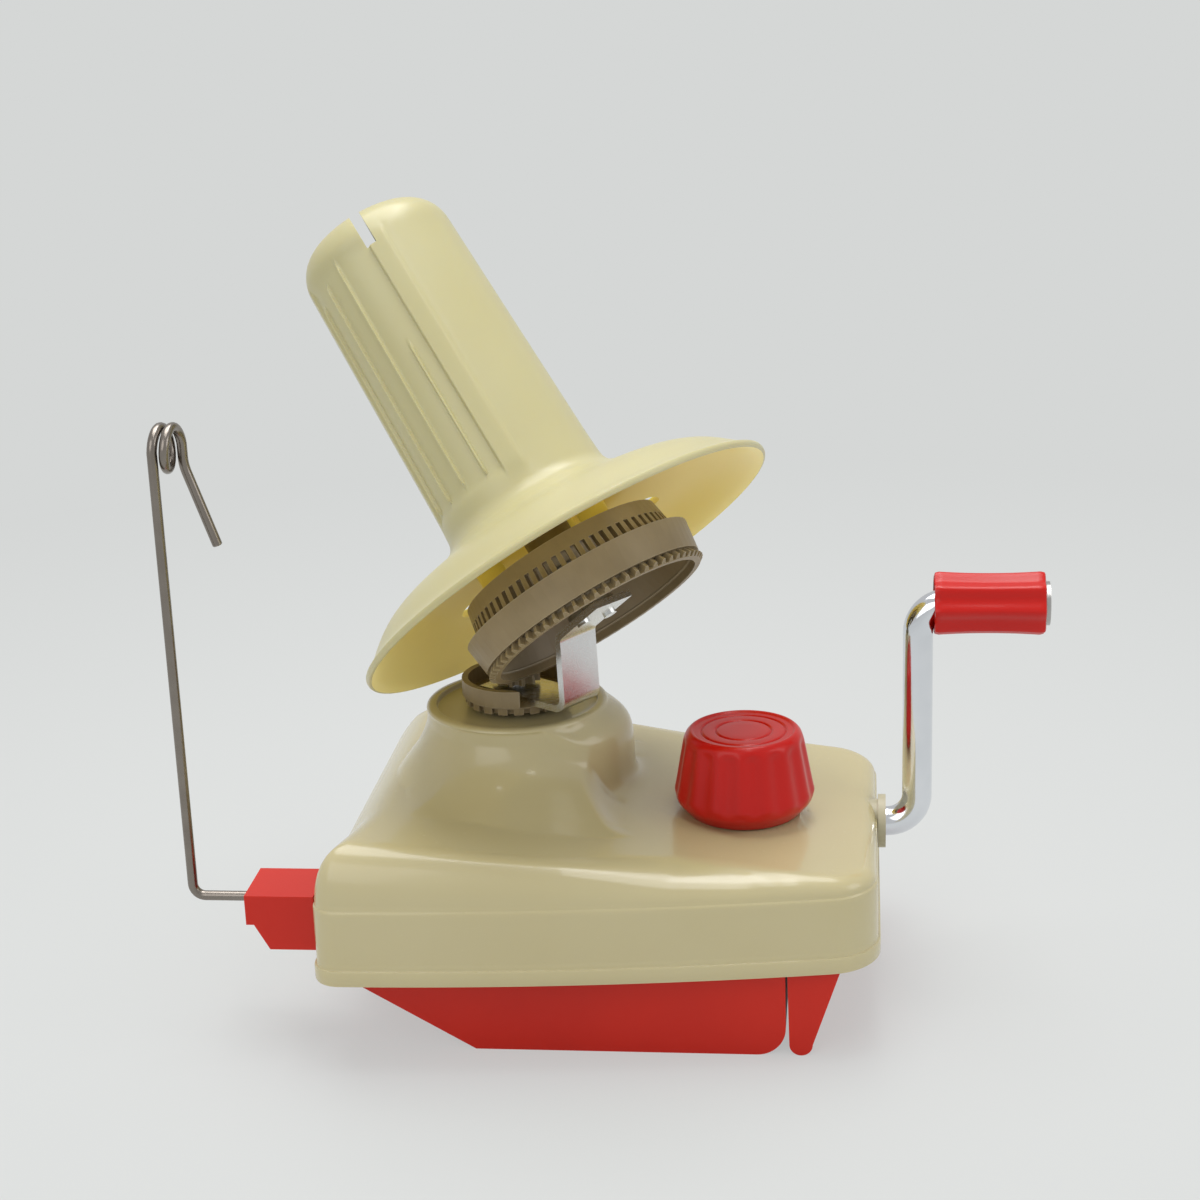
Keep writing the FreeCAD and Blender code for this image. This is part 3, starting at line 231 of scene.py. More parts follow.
finishes = {
    "housing_cream": mouldedPlastic("housingCream", plastic["housing"], plastic["housingDeep"],
                                    0.25, 0.4, 0.03, 0.016, 0.06),
    "bobbin_cream": mouldedPlastic("bobbinCream", plastic["bobbin"], plastic["bobbinDeep"],
                                   0.36, 0.12, 0.03, 0.02, 0.2),
    "red_plastic": mouldedPlastic("redPlastic", plastic["red"], plastic["redDeep"],
                                  0.34, 0.08, 0.04, 0.03, 0.03, 0.3),
    "red_gloss": mouldedPlastic("redGloss", plastic["gloss"], plastic["glossDeep"],
                                0.3, 0.12, 0.03, 0.03, 0.02, 0.3),
    "gear_brown": gearPlastic("gearBrown", plastic["gear"], plastic["gearDeep"]),
    "bright_strip": steel("brightStrip", (236, 238, 238), 0.26, (0.3, 6.0, 6.0), 0.05, (206, 206, 204)),
    "crank_chrome": steel("crankChrome", (232, 234, 238), 0.11, None, 0.02, (208, 212, 218)),
    "guide_wire_steel": steel("guideWireSteel", (150, 143, 135), 0.26, (4.0, 4.0, 0.4), 0.08, (108, 98, 90)),
    "zinc_steel": steel("zincSteel", (190, 190, 188), 0.3, None, 0.08),
    "nut_brass": steel("nutBrass", (206, 168, 92), 0.28, None, 0.06, (160, 124, 60)),
    "bush_plastic": gearPlastic("bushPlastic", plastic["bush"], (172, 166, 138)),
}


base = 26.0                     # height of the housing's lower edge above the floor, in mm
neckX, neckY = -28.2, 9.2       # upright axis that the flyer turns on
knobX, knobY = 38.5, -8.7       # upright axis of the clamp's knob and screw
shaftHeight = 18.65             # of the crank's shaft, above the housing's lower edge
bobbinAzimuth = 145.32          # direction that the bobbin leans in, in degrees
housingFrame = Matrix.Translation((0.0, 0.0, base))
flyerFrame = Matrix.Translation((neckX, neckY, base)) @ Matrix.Rotation(math.radians(bobbinAzimuth - 180), 4, "Z")
leanAngle = math.radians(39.69)
apexAbove = 125.29               # where the two gear axes meet, above the housing's lower edge
rimToApex = 33.8
bobbinFrame = (flyerFrame
               @ Matrix.Translation((rimToApex * math.sin(leanAngle), 0.0,
                                     apexAbove - rimToApex * math.cos(leanAngle)))
               @ Matrix.Rotation(-leanAngle, 4, "Y") @ Matrix.Rotation(math.pi, 4, "Z"))


def paintedGlowPlastic(name, pale, deep, shine):
    # the flange seen from below, given a painted glow that stands in for daylight coming through it: deeper towards
    # its thick middle and paler out to the rim, partly the plastic's own tint where it is thick and partly painted
    # light
    paint = Paint(name)
    drift = paint.speckle(0.03, 2.0)
    fine = paint.speckle(1.7, 4.0, 0.6)
    place = paint.place()
    centre = paint.add("ShaderNodeVectorMath", {"operation": "SUBTRACT"}, {0: place, 1: underMiddle})
    away = paint.add("ShaderNodeVectorMath", {"operation": "LENGTH"}, {0: centre}, "Value")
    outward = ((away - 30.0) / 36.0).clamped()
    # partly painted light: deep yellow near the middle to pale at the rim, partly the thicker plastic's own tint
    tone = paint.blend((outward * 0.9 + drift * 0.2).clamped(), linear(*deep), linear(*pale))
    return paint.surface(
        Base_Color=tone,
        Roughness=0.34 + (fine - 0.5) * 0.1,
        IOR=1.48,
        Subsurface_Weight=0.3,
        Subsurface_Radius=(0.006, 0.0045, 0.0012),
        Subsurface_Scale=1.0,
        # painted glow: the surface gives out its own colour as light, though it is no lamp
        Emission_Color=tone,
        Emission_Strength=shine,
    )


underMiddle = tuple(bobbinFrame.translation)   # middle of the flange's rim plane, in mm
# painted glow for the flange's underside, deep yellow near the middle and pale at the rim
paintedGlowFinish = paintedGlowPlastic("flangeUndersidePaintedGlow", (212, 200, 130), (186, 160, 48), 0.26)

slotOf = {part["node"]: part["material_slot"] for part in frame["record"]["subparts"]}
for name, node in nodes.items():
    finish = finishes[slotOf[name]]
    node.data.materials.clear()
    node.data.materials.append(finish)
    for face in node.data.polygons:
        face.material_index = 0
print("finishes set on", len(nodes), "nodes")


# mesh helpers
def smoothStep(low, high, value):
    share = np.clip((value - low) / (high - low), 0.0, 1.0)
    return share * share * (3.0 - 2.0 * share)


def curveThrough(points, steps):
    # Catmull-Rom line through points of any dimension
    points = np.asarray(points, float)
    padded = np.vstack([2 * points[0] - points[1], points, 2 * points[-1] - points[-2]])
    made = []
    for index in range(1, len(padded) - 2):
        before, start, end, after = padded[index - 1:index + 3]
        for step in range(steps):
            t = step / steps
            made.append(0.5 * (2 * start + (end - before) * t
                               + (2 * before - 5 * start + 4 * end - after) * t ** 2
                               + (3 * start - before - 3 * end + after) * t ** 3))
    made.append(points[-1])
    return np.array(made)


def evenly(points, count):
    # the same polyline with its points spaced evenly
    points = np.asarray(points, float)
    steps = np.linalg.norm(np.diff(points, axis=0), axis=1)
    along = np.concatenate([[0.0], np.cumsum(steps)])
    places = np.linspace(0.0, along[-1], count)
    return np.stack([np.interp(places, along, points[:, axis]) for axis in range(points.shape[1])], axis=1)


def softened(line, passes):
    # rounds a polyline, its two ends kept
    line = np.array(line, float)
    for _ in range(passes):
        line[1:-1] = 0.5 * line[1:-1] + 0.25 * (line[:-2] + line[2:])
    return line


def gridFaces(rows, columns, closed=True, start=0):
    around = columns if closed else columns - 1
    faces = []
    for row in range(rows - 1):
        for column in range(around):
            after = (column + 1) % columns
            low = start + row * columns
            faces.append((low + column, low + after, low + columns + after, low + columns + column))
    return faces


def setPiece(name, points, faces, turn, finish, body, stands=()):
    # points in mm; turn carries them from the piece's own frame into the object's, in mm
    points = np.asarray(points, float).reshape(-1, 3)
    turn = np.array(turn)
    points = (points @ turn[:3, :3].T + turn[:3, 3]) * mm
    mesh = bpy.data.meshes.new(name)
    mesh.from_pydata(points.tolist(), [], faces)
    mesh.validate()
    work = bmesh.new()
    work.from_mesh(mesh)
    bmesh.ops.remove_doubles(work, verts=work.verts, dist=1e-6)
    bmesh.ops.recalc_face_normals(work, faces=work.faces)
    work.to_mesh(mesh)
    work.free()
    for polygon in mesh.polygons:
        polygon.use_smooth = True
    piece = bpy.data.objects.new(name, mesh)
    bpy.context.scene.collection.objects.link(piece)
    mesh.materials.append(finishes[finish])
    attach(piece, body)
    if stands:
        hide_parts(*stands)
    return piece


def carve(piece, cutters):
    # cuts joined-up closed solids out of a piece
    points, faces = [], []
    for corners, sides in cutters:
        faces += [tuple(index + len(points) for index in side) for side in sides]
        points += list(corners)
    mesh = bpy.data.meshes.new("cutter")
    mesh.from_pydata([tuple(np.asarray(point) * mm) for point in points], [], faces)
    tool = bpy.data.objects.new("cutter", mesh)
    bpy.context.scene.collection.objects.link(tool)
    work = bmesh.new()
    work.from_mesh(mesh)
    bmesh.ops.recalc_face_normals(work, faces=work.faces)
    work.to_mesh(mesh)
    work.free()
    cut = piece.modifiers.new("cut", "BOOLEAN")
    cut.object = tool
    cut.operation = "DIFFERENCE"
    cut.solver = "EXACT"
    bpy.context.view_layer.update()
    graph = bpy.context.evaluated_depsgraph_get()
    result = bpy.data.meshes.new_from_object(piece.evaluated_get(graph))
    piece.modifiers.clear()
    piece.data = result
    bpy.data.objects.remove(tool)


def prismCutter(outline, low, high, turn):
    # closed solid from a flat outline in mm, stood between two heights of a frame
    turn = np.array(turn)
    count = len(outline)
    corners = [(x, y, z) for z in (low, high) for x, y in outline]
    corners = np.array(corners) @ turn[:3, :3].T + turn[:3, 3]
    sides = [(i, (i + 1) % count, count + (i + 1) % count, count + i) for i in range(count)]
    sides += [tuple(range(count))[::-1], tuple(range(count, 2 * count))]
    return corners, sides


def addPegs(piece, outlines):
    # joins closed solids, such as screw bosses, to a piece's mesh
    work = bmesh.new()
    work.from_mesh(piece.data)
    for corners, sides in outlines:
        points = [work.verts.new(tuple(np.asarray(corner) * mm)) for corner in corners]
        made = [work.faces.new([points[index] for index in side]) for side in sides]
        bmesh.ops.recalc_face_normals(work, faces=made)
        for face in made:
            face.smooth = True
    work.to_mesh(piece.data)
    work.free()


def shadeByAngle(piece, degrees):
    # flat facets stay crisp where the surface turns by more than this
    piece.data.set_sharp_from_angle(angle=math.radians(degrees))


# housing: one smooth shell from its lip to the well in its neck
housing = {
    "halfLength": 76.0, "depths": (65.0, 61.0, 50.0), "corners": (7.0, 12.0), "wall": 2.2,
    "belt": 21.7, "lip": 4.6, "lipStep": 0.7, "shoulderIn": 0.5,
    "shoulders": ((-76.0, 9.0), (-8.0, 9.0), (4.0, 11.0), (21.0, 15.0), (37.0, 12.5), (55.0, 6.0), (76.0, 4.5)),
    "deck": 32.4, "deckFall": 0.09,
    "neck": (neckX, neckY), "neckRadius": 26.4, "neckTop": 56.0, "wellRadius": 23.4, "wellFloor": 54.4,
    "lobe": (24.4, 9.6), "bell": (31.5, 15.0, 9.5), "flare": (4.0, 2.6),
    "fold": ((2.6, 70.0), (2.4, 33.8), (1.3, 19.5), (-0.5, 4.8), (-0.9, -10.5), (0.8, -21.0), (4.4, -28.5),
             (11.0, -35.2), (21.3, -41.2), (37.0, -45.6), (54.8, -53.5), (72.0, -66.0)),
    "seat": (knobX, knobY, 17.2, 29.3),
    "holderSlot": (-90.0, -60.0, -42.2, -30.8, 5.2, 13.7),      # low and high x, y and z
    "crankHole": 6.28, "screwHole": 3.9,                        # radii
    "columns": 432,
}
foldLine = curveThrough(housing["fold"], 8)


def halfDepth(x):
    left, middle, right = housing["depths"]
    share = x / housing["halfLength"]
    mean = (left + right) / 2
    return mean - (left - right) / 2 * share + (middle - mean) * (1 - share ** 2)


def outside(x, y):
    # distance outside the rounded plan, below 0 within it
    corner = np.where(x > 0, housing["corners"][1], housing["corners"][0])
    across = np.abs(x) - housing["halfLength"] + corner
    deep = np.abs(y) - halfDepth(x) + corner
    rounded = np.hypot(np.maximum(across, 0.0), np.maximum(deep, 0.0))
    return rounded + np.minimum(np.maximum(across, deep), 0.0) - corner


def foldSide(x, y):
    # distance from the fold line in the deck, above 0 on the neck's side
    nearest = np.full(np.shape(x), 1e9)
    side = np.ones(np.shape(x))
    for (x0, y0), (x1, y1) in zip(foldLine[:-1], foldLine[1:]):
        dx, dy = x1 - x0, y1 - y0
        share = np.clip(((x - x0) * dx + (y - y0) * dy) / (dx * dx + dy * dy), 0.0, 1.0)
        away = np.hypot(x - x0 - share * dx, y - y0 - share * dy)
        turned = np.sign((x - x0) * dy - (y - y0) * dx)
        side = np.where(away < nearest, turned, side)
        nearest = np.minimum(nearest, away)
    return nearest * np.where(side == 0, 1.0, side)


def roofTop(x, y):
    # a bell round the neck that runs out further to the front than to the left
    low, rise, reach = housing["bell"]
    flareRise, flareReach = housing["flare"]
    distance = np.hypot(x - housing["neck"][0], y - housing["neck"][1])
    away = np.maximum(distance - housing["neckRadius"], 0.0)
    front = np.clip((housing["neck"][1] - y) / np.maximum(distance, 1.0), 0.0, 1.0)
    rear = np.clip((y - housing["neck"][1]) / np.maximum(distance, 1.0), 0.0, 1.0)
    low = low - 5.0 * front - 1.5 * rear
    rise = rise + 5.0 * front + 1.5 * rear
    reach = reach + 13.5 * front + 2.0 * rear
    bell = low + rise * np.exp(-away / reach) + flareRise * np.exp(-away / flareReach)
    deck = housing["deck"] - housing["deckFall"] * x
    lift = bell - deck
    cap = 1.7 * (1 - smoothStep(26.0, 62.0, x)) + 22.0 * (1 - smoothStep(0.0, 12.0, x))
    lift = np.minimum(lift, cap)
    top = deck + np.maximum(lift, 0.0) * smoothStep(-1.0, 5.0, foldSide(x, y))
    seatX, seatY, seatRadius, seatTop = housing["seat"]
    inSeat = 1 - smoothStep(seatRadius - 0.6, seatRadius + 0.6, np.hypot(x - seatX, y - seatY))
    return top + (seatTop - 0.15 - top) * inSeat


def roofHeight(x, y):
    # round shoulders along the edge of the plan, and the roof within them
    places, widths = zip(*housing["shoulders"])
    leftEnd = (1 - smoothStep(-72.0, -40.0, x)) * smoothStep(-66.0, -26.0, y)
    width = np.interp(x, places, widths) * (1 - leftEnd) + 20.0 * leftEnd
    inward = np.clip((-outside(x, y) - housing["shoulderIn"]) / width, 0.0, 1.0)
    edge = housing["belt"] + 0.2
    arch = np.maximum(1 - (1 - inward) ** 2, 0.0) ** (0.5 + 0.4 * leftEnd)
    return edge + (roofTop(x, y) - edge) * arch


def rayTo(level, cosines, sines):
    # how far each ray from the neck's axis goes to a given distance outside the plan
    near = np.zeros_like(cosines)
    far = np.full_like(cosines, 150.0)
    for _ in range(40):
        middle = (near + far) / 2
        beyond = outside(housing["neck"][0] + middle * cosines, housing["neck"][1] + middle * sines) > level
        far = np.where(beyond, middle, far)
        near = np.where(beyond, near, middle)
    return (near + far) / 2


def makeHousing():
    count = housing["columns"]
    angles = np.linspace(0.0, 2 * np.pi, count, endpoint=False)
    cosines, sines = np.cos(angles), np.sin(angles)
    rows = []                                    # each row: radius and height for every column

    def level(offset, height):
        rows.append((rayTo(offset, cosines, sines), np.full(count, height)))

    lipOut, wall, belt, lip = housing["lipStep"], housing["wall"], housing["belt"], housing["lip"]
    for offset, height in ((-wall, 20.0), (-wall, 0.6), (-wall + 0.3, 0.0), (lipOut - 0.5, 0.0),
                           (lipOut - 0.15, 0.12), (lipOut, 0.5), (lipOut, lip - 0.5), (lipOut - 0.15, lip - 0.12),
                           (lipOut - 0.4, lip), (0.12, lip + 0.05), (0.0, lip + 0.3), (0.0, lip + 2.0),
                           (0.0, 12.0), (0.0, belt - 1.6), (-0.03, belt - 0.5), (-0.16, belt - 0.12),
                           (-0.4, belt + 0.05)):
        level(offset, height)
    edge = rayTo(-housing["shoulderIn"], cosines, sines)
    places, widths = zip(*housing["shoulders"])
    width = np.interp(neckX + edge * cosines, places, widths)
    radii = []
    for step in range(14):
        inward = width * (1 - math.cos(math.radians(90.0 * step / 14)))
        near, far = np.zeros(count), edge.copy()
        for _ in range(34):
            middle = (near + far) / 2
            deeper = -outside(neckX + middle * cosines, neckY + middle * sines) - housing["shoulderIn"] > inward
            near = np.where(deeper, middle, near)
            far = np.where(deeper, far, middle)
        radii.append((near + far) / 2)
    lobeRadius, lobeOffset = housing["lobe"]
    lobe = lobeOffset * cosines + np.sqrt(np.maximum(lobeRadius ** 2 - (lobeOffset * sines) ** 2, 0.0))
    foot = np.maximum(lobe, housing["neckRadius"])
    for _ in range(6):                           # takes the kink out of where lobe and neck meet
        foot = 0.5 * foot + 0.25 * (np.roll(foot, 1) + np.roll(foot, -1))
    for radius in radii:
        rows.append((radius, roofHeight(neckX + radius * cosines, neckY + radius * sines)))
    shares = 1 - (1 - np.linspace(0.0, 1.0, 53)[1:]) ** 1.25
    roofRows, wallRows = len(shares), 40
    soft = np.zeros((count, roofRows + wallRows, 2))
    for shareIndex, share in enumerate(shares):
        radius = radii[-1] + (foot - radii[-1]) * share
        soft[:, shareIndex, 0] = radius
        soft[:, shareIndex, 1] = roofHeight(neckX + radius * cosines, neckY + radius * sines)
    neckRadius, neckTop = housing["neckRadius"], housing["neckTop"]
    for column in range(count):
        start = soft[column, roofRows - 1]
        excess = foot[column] - neckRadius
        lobed = float(smoothStep(0.0, 5.0, excess))
        slope = min(3.5, excess)
        ledge = neckTop - 1.2 - 1.6 * lobed
        wallLine = [start, (foot[column] - 0.3, neckTop - 1.2 - 5.3 * lobed),
                    (foot[column] - slope, ledge), (neckRadius, ledge + 0.2), (neckRadius, neckTop - 1.0)]
        soft[column, roofRows - 1:] = evenly(wallLine, wallRows + 1)
        soft[column, roofRows - 30:] = softened(soft[column, roofRows - 30:], 44)
    for index in range(roofRows + wallRows):
        rows.append((soft[:, index, 0], soft[:, index, 1]))
    well, floor = housing["wellRadius"], housing["wellFloor"]
    for radius, height in ((26.25, 55.45), (25.9, 55.8), (25.4, 55.97), (24.9, 56.0), (well + 0.5, 56.0),
                           (well + 0.15, 55.9), (well, 55.6), (well, floor + 0.5), (well - 0.15, floor + 0.15),
                           (well - 0.5, floor), (18.0, floor), (12.0, floor), (7.95, floor), (7.9, floor - 0.2),
                           (7.9, 42.6)):
        rows.append((np.full(count, radius), np.full(count, height)))
    points = [np.stack([neckX + radius * cosines, neckY + radius * sines, height], axis=1)
              for radius, height in rows]
    shell = setPiece("housingShell", np.array(points), gridFaces(len(rows), count), housingFrame,
                     "housing_cream", "frame", ("upper_housing",))
    # the guide holder's slot and the holes for the crank's bush and the clamp's screw are cut through
    lowX, highX, lowY, highY, lowZ, highZ = housing["holderSlot"]
    holder = [(lowX, lowY), (highX, lowY), (highX, highY), (lowX, highY)]
    radius = housing["crankHole"]
    crankHole = [(radius * math.cos(a), radius * math.sin(a)) for a in np.linspace(0, 2 * math.pi, 40)[:-1]]
    sideways = Matrix.Translation((0.0, neckY, base + shaftHeight)) @ Matrix.Rotation(math.radians(90), 4, "Y")
    radius = housing["screwHole"]
    screwHole = [(knobX + radius * math.cos(a), knobY + radius * math.sin(a))
                 for a in np.linspace(0, 2 * math.pi, 32)[:-1]]
    carve(shell, [prismCutter(holder, lowZ, highZ, housingFrame), prismCutter(crankHole, 60.0, 90.0, sideways),
                  prismCutter(screwHole, 24.0, 40.0, housingFrame)])
    shadeByAngle(shell, 42)
    return shell


# bobbin: sleeve and saucer flange in one moulding
spool = {
    "flange": ((64.1, 0.0), (61.3, 1.8), (55.7, 6.7), (50.1, 10.0), (41.8, 12.6), (33.5, 15.2), (27.8, 18.2)),
    "foot": (24.8, 23.5), "shoulder": (22.9, 105.3), "top": 115.5, "endRound": 9.0, "wall": 2.0,
    "panel": (58.0, 132.2), "panelDepth": 0.85, "panelSpan": (28.0, 105.5),
    "ribs": ((66.0, 30.0, 98.0), (85.0, 30.0, 101.0), (103.0, 31.0, 104.0), (121.0, 30.0, 72.0)),
    "ribWidth": 0.8, "ribHeight": 1.0,
    "band": (132.2, 146.5), "bandHeight": 0.4,
    "slit": (134.0, 3.2, 13.0, 134.0),       # angle of its mouth, width, depth, direction
    "holes": (43.0, 6.7, 5.6, 4, -1.5),
    "bosses": (19.4, 4.2, 3, 60.0, 3.1, 28.1),     # circle, radius, number, first angle, foot, top
    "columns": 480,
}


def makeBobbin():
    outer = curveThrough(spool["flange"], 6)
    footRadius, footHeight = spool["foot"]
    shoulderRadius, shoulderHeight = spool["shoulder"]
    sweep = curveThrough([spool["flange"][-2], spool["flange"][-1], (25.4, 21.2), (footRadius, footHeight + 1.5),
                          (24.5, 32.0)], 5)[5:]
    straight = [(24.5 + (shoulderRadius - 24.5) * step / 46, 32.0 + (shoulderHeight - 32.0) * step / 46)
                for step in range(1, 47)]
    endRound, top = spool["endRound"], spool["top"]
    dome = [(shoulderRadius - endRound * (1 - math.cos(turn)),
             shoulderHeight + (top - shoulderHeight) * math.sin(turn))
            for turn in np.radians(np.linspace(9, 90, 10))]
    crown = [(11.0, top + 0.12), (7.0, top + 0.2), (3.0, top + 0.25), (0.02, top + 0.25)]
    edge = [(63.3, -1.75), (63.9, -1.6), (64.2, -1.1), (64.25, -0.5)]
    profile = np.array(edge + outer.tolist() + sweep[1:].tolist() + straight + dome + crown)
    count = spool["columns"]
    degrees = np.arange(count) * 360.0 / count
    angles = np.radians(degrees)
    rows = []
    low, high = spool["panel"]
    fromHeight, toHeight = spool["panelSpan"]
    for radius, height in profile:
        change = np.zeros(count)
        if 24.0 < height < 108.0 and radius < 30.0:
            for shift in (0.0, 180.0):           # the far side carries the same panel
                place = (degrees - shift) % 360.0
                window = smoothStep(low - 1.2, low + 1.2, place) * (1 - smoothStep(high - 1.0, high + 1.0, place))
                window = window * float(smoothStep(fromHeight - 1.5, fromHeight + 1.5, height)
                                        * (1 - smoothStep(toHeight - 1.5, toHeight + 1.5, height)))
                change -= spool["panelDepth"] * window
                bandLow, bandHigh = spool["band"]
                raised = (smoothStep(bandLow - 0.8, bandLow + 0.8, place)
                          * (1 - smoothStep(bandHigh - 2, bandHigh + 2, place)))
                tall = float(smoothStep(24.0, 29.0, height) * (1 - smoothStep(104.0, 108.0, height)))
                change += spool["bandHeight"] * raised * tall
                for middle, ribLow, ribHigh in spool["ribs"]:
                    across = np.abs(place - middle) * math.radians(1) * radius
                    ridge = 1 - smoothStep(spool["ribWidth"] * 0.25, spool["ribWidth"] * 0.75, across)
                    ends = (smoothStep(ribLow - 1, ribLow + 1, height)
                            * (1 - smoothStep(ribHigh - 1, ribHigh + 1, height)))
                    change += spool["ribHeight"] * ridge * float(ends)
        radii = radius + change
        rows.append(np.stack([radii * np.cos(angles), radii * np.sin(angles), np.full(count, height)], axis=1))
    wall = spool["wall"]
    inner = [(0.02, top - wall), (8.0, top - wall), (14.0, top - wall - 1.2), (shoulderRadius - wall, shoulderHeight),
             (23.4 - wall, 70.0), (footRadius - wall, 24.0), (25.4 - wall, 19.8)]
    under = curveThrough([(25.4 - wall, 19.8), (29.0, 15.2), (34.5, 12.9), (41.8, 10.5), (49.7, 7.9), (54.9, 4.9),
                          (60.5, 0.0), (63.3, -1.75)], 5)
    for radius, height in inner[:-1] + under.tolist():
        rows.append(np.stack([radius * np.cos(angles), radius * np.sin(angles), np.full(count, height)], axis=1))
    shell = setPiece("bobbinShell", np.array(rows), gridFaces(len(rows), count), bobbinFrame,
                     "bobbin_cream", "bobbin", ("bobbin",))
    shell.data.materials.append(paintedGlowFinish)
    middle, width, depth, aim = spool["slit"]
    start = (22.0 * math.cos(math.radians(middle)), 22.0 * math.sin(math.radians(middle)), 0.0)
    turn = bobbinFrame @ Matrix.Translation(start) @ Matrix.Rotation(math.radians(aim), 4, "Z")
    notch = [(-60.0, -width / 2), (12.0, -width / 2), (12.0, width / 2), (-60.0, width / 2)]
    cutters = [prismCutter(notch, top - depth, top + 6.0, turn)]
    radius, longWay, wideWay, number, first = spool["holes"]
    for index in range(number):
        turn = bobbinFrame @ Matrix.Rotation(math.radians(first + 360.0 * index / number), 4, "Z")
        half, offset = wideWay / 2, (longWay - wideWay) / 2
        outline = [(radius + half * math.cos(a), math.copysign(offset, math.sin(a)) + half * math.sin(a))
                   for a in np.linspace(0.01, 2 * math.pi + 0.01, 41)[:-1]]
        cutters.append(prismCutter(outline, -5.0, 25.0, turn))
    carve(shell, cutters)
    circle, bossRadius, bossCount, bossFirst, bossFoot, bossTop = spool["bosses"]
    disc = [(circle + bossRadius * math.cos(a), bossRadius * math.sin(a))
            for a in np.linspace(0, 2 * math.pi, 33)[:-1]]
    bosses = []
    for index in range(bossCount):
        aside = Matrix.Rotation(math.radians(bossFirst + 360.0 * index / bossCount), 4, "Z")
        bosses.append(prismCutter(disc, bossFoot, bossTop, bobbinFrame @ aside))
    addPegs(shell, bosses)
    # underside of the flange takes the painted glow that stands in for light coming through the moulding
    inward = np.array(bobbinFrame.inverted())
    for face in shell.data.polygons:
        centre = inward[:3, :3] @ (np.array(face.center) * 1000.0) + inward[:3, 3]
        normal = inward[:3, :3] @ np.array(face.normal)
        if normal[2] < 0.05 and centre[2] < 22.0 and np.hypot(centre[0], centre[1]) < 63.5:
            face.material_index = 1
    shadeByAngle(shell, 40)
    return shell


# knob
knob = {
    "place": (knobX, knobY), "flutes": 16, "fluteDepth": 0.7, "columns": 288,
    "side": ((15.0, 29.45), (15.7, 29.6), (16.4, 30.3), (17.8, 31.8), (19.1, 33.5), (19.7, 35.2),
             (19.75, 36.2), (19.5, 37.4), (18.9, 40.5), (18.1, 45.0), (17.3, 49.3), (16.9, 51.2), (16.3, 52.6),
             (15.4, 53.6), (14.9, 53.85)),
    "rings": (7.8, 11.9), "ringWidth": 0.9, "ringDepth": 0.45,
}


def makeKnob():
    side = curveThrough(knob["side"], 3).tolist()
    top = [(14.6, 53.85), (14.3, 53.7), (14.0, 53.42), (13.7, 53.35)]
    half = knob["ringWidth"] / 2
    for radius in reversed(knob["rings"]):
        top += [(radius + half + 0.3, 53.35), (radius + half, 53.3), (radius + 0.12, 53.35 - knob["ringDepth"]),
                (radius - 0.12, 53.35 - knob["ringDepth"]), (radius - half, 53.3), (radius - half - 0.3, 53.35)]
    top += [(4.0, 53.35), (0.02, 53.35)]
    foot = [(4.2, 36.0), (4.2, 29.6), (13.8, 29.5)]
    count = knob["columns"]
    angles = np.linspace(0.0, 2 * np.pi, count, endpoint=False)
    wave = 0.5 + 0.5 * np.cos(angles * knob["flutes"])
    rows = []
    for radius, height in foot + side + top:
        share = float(smoothStep(33.4, 36.4, height) * (1 - smoothStep(49.8, 52.8, height)))
        radii = radius - knob["fluteDepth"] * share * (1 - wave) if radius > 13.0 else np.full(count, radius)
        rows.append(np.stack([radii * np.cos(angles), radii * np.sin(angles), np.full(count, height)], axis=1))
    turn = Matrix.Translation((knob["place"][0], knob["place"][1], base))
    piece = setPiece("knobShell", np.array(rows), gridFaces(len(rows), count), turn, "red_gloss", "knob",
                     ("clamp_knob",))
    shadeByAngle(piece, 45)
    return piece


# grip
grip = {"left": 91.8, "long": 30.8, "radius": 9.35, "waist": 0.55, "ridges": 8, "depth": 1.15, "columns": 256,
        "place": (neckY, 85.0)}


def makeGrip():
    left, right = grip["left"], grip["left"] + grip["long"]
    count = grip["columns"]
    angles = np.linspace(0.0, 2 * np.pi, count, endpoint=False)
    flute = 1 - np.abs(np.cos(angles * grip["ridges"] / 2 + math.pi / 2))
    rows = [(4.35, right - 2.0, 0.0), (4.35, right - 0.2, 0.0), (5.2, right, 0.0), (grip["radius"] - 0.9, right, 1.0)]
    for share in np.linspace(0.0, 1.0, 30):
        x = right - 0.25 - share * (grip["long"] - 0.5)
        pinch = grip["waist"] * (1 - (2 * share - 1) ** 2)
        soft = 0.35 * max(0.0, 1 - min(share, 1 - share) * 30)
        rows.append((grip["radius"] - pinch - soft, x, 1.0))
    rows += [(grip["radius"] - 0.9, left, 1.0), (7.9, left, 0.0), (7.7, left + 0.2, 0.0), (7.7, left + 4.6, 0.0),
             (4.4, left + 4.6, 0.0), (4.35, left + 7.0, 0.0)]
    made = []
    for radius, x, fluted in rows:
        radii = radius - grip["depth"] * fluted * (1 - np.clip(flute * 1.05, 0, 1)) ** 1.5
        made.append(np.stack([np.full(count, x), radii * np.cos(angles), radii * np.sin(angles)], axis=1))
    turn = Matrix.Translation((0.0, grip["place"][0], base + grip["place"][1]))
    piece = setPiece("gripShell", np.array(made), gridFaces(len(made), count), turn, "red_gloss", "grip",
                     ("crank_grip",))
    shadeByAngle(piece, 30)
    return piece


# wire guide
guide = {"radius": 1.4, "y": -36.5, "height": 13.2, "holderLeft": -98.7, "depth": 21.0, "x": -115.9, "top": 141.5,
         "bend": 3.5, "eye": 5.6, "pitch": 3.3, "halfTurns": 3, "limbEnd": (-103.4, 112.7), "limbStraight": 6.0,
         "limbBend": 14.0, "sides": 20}


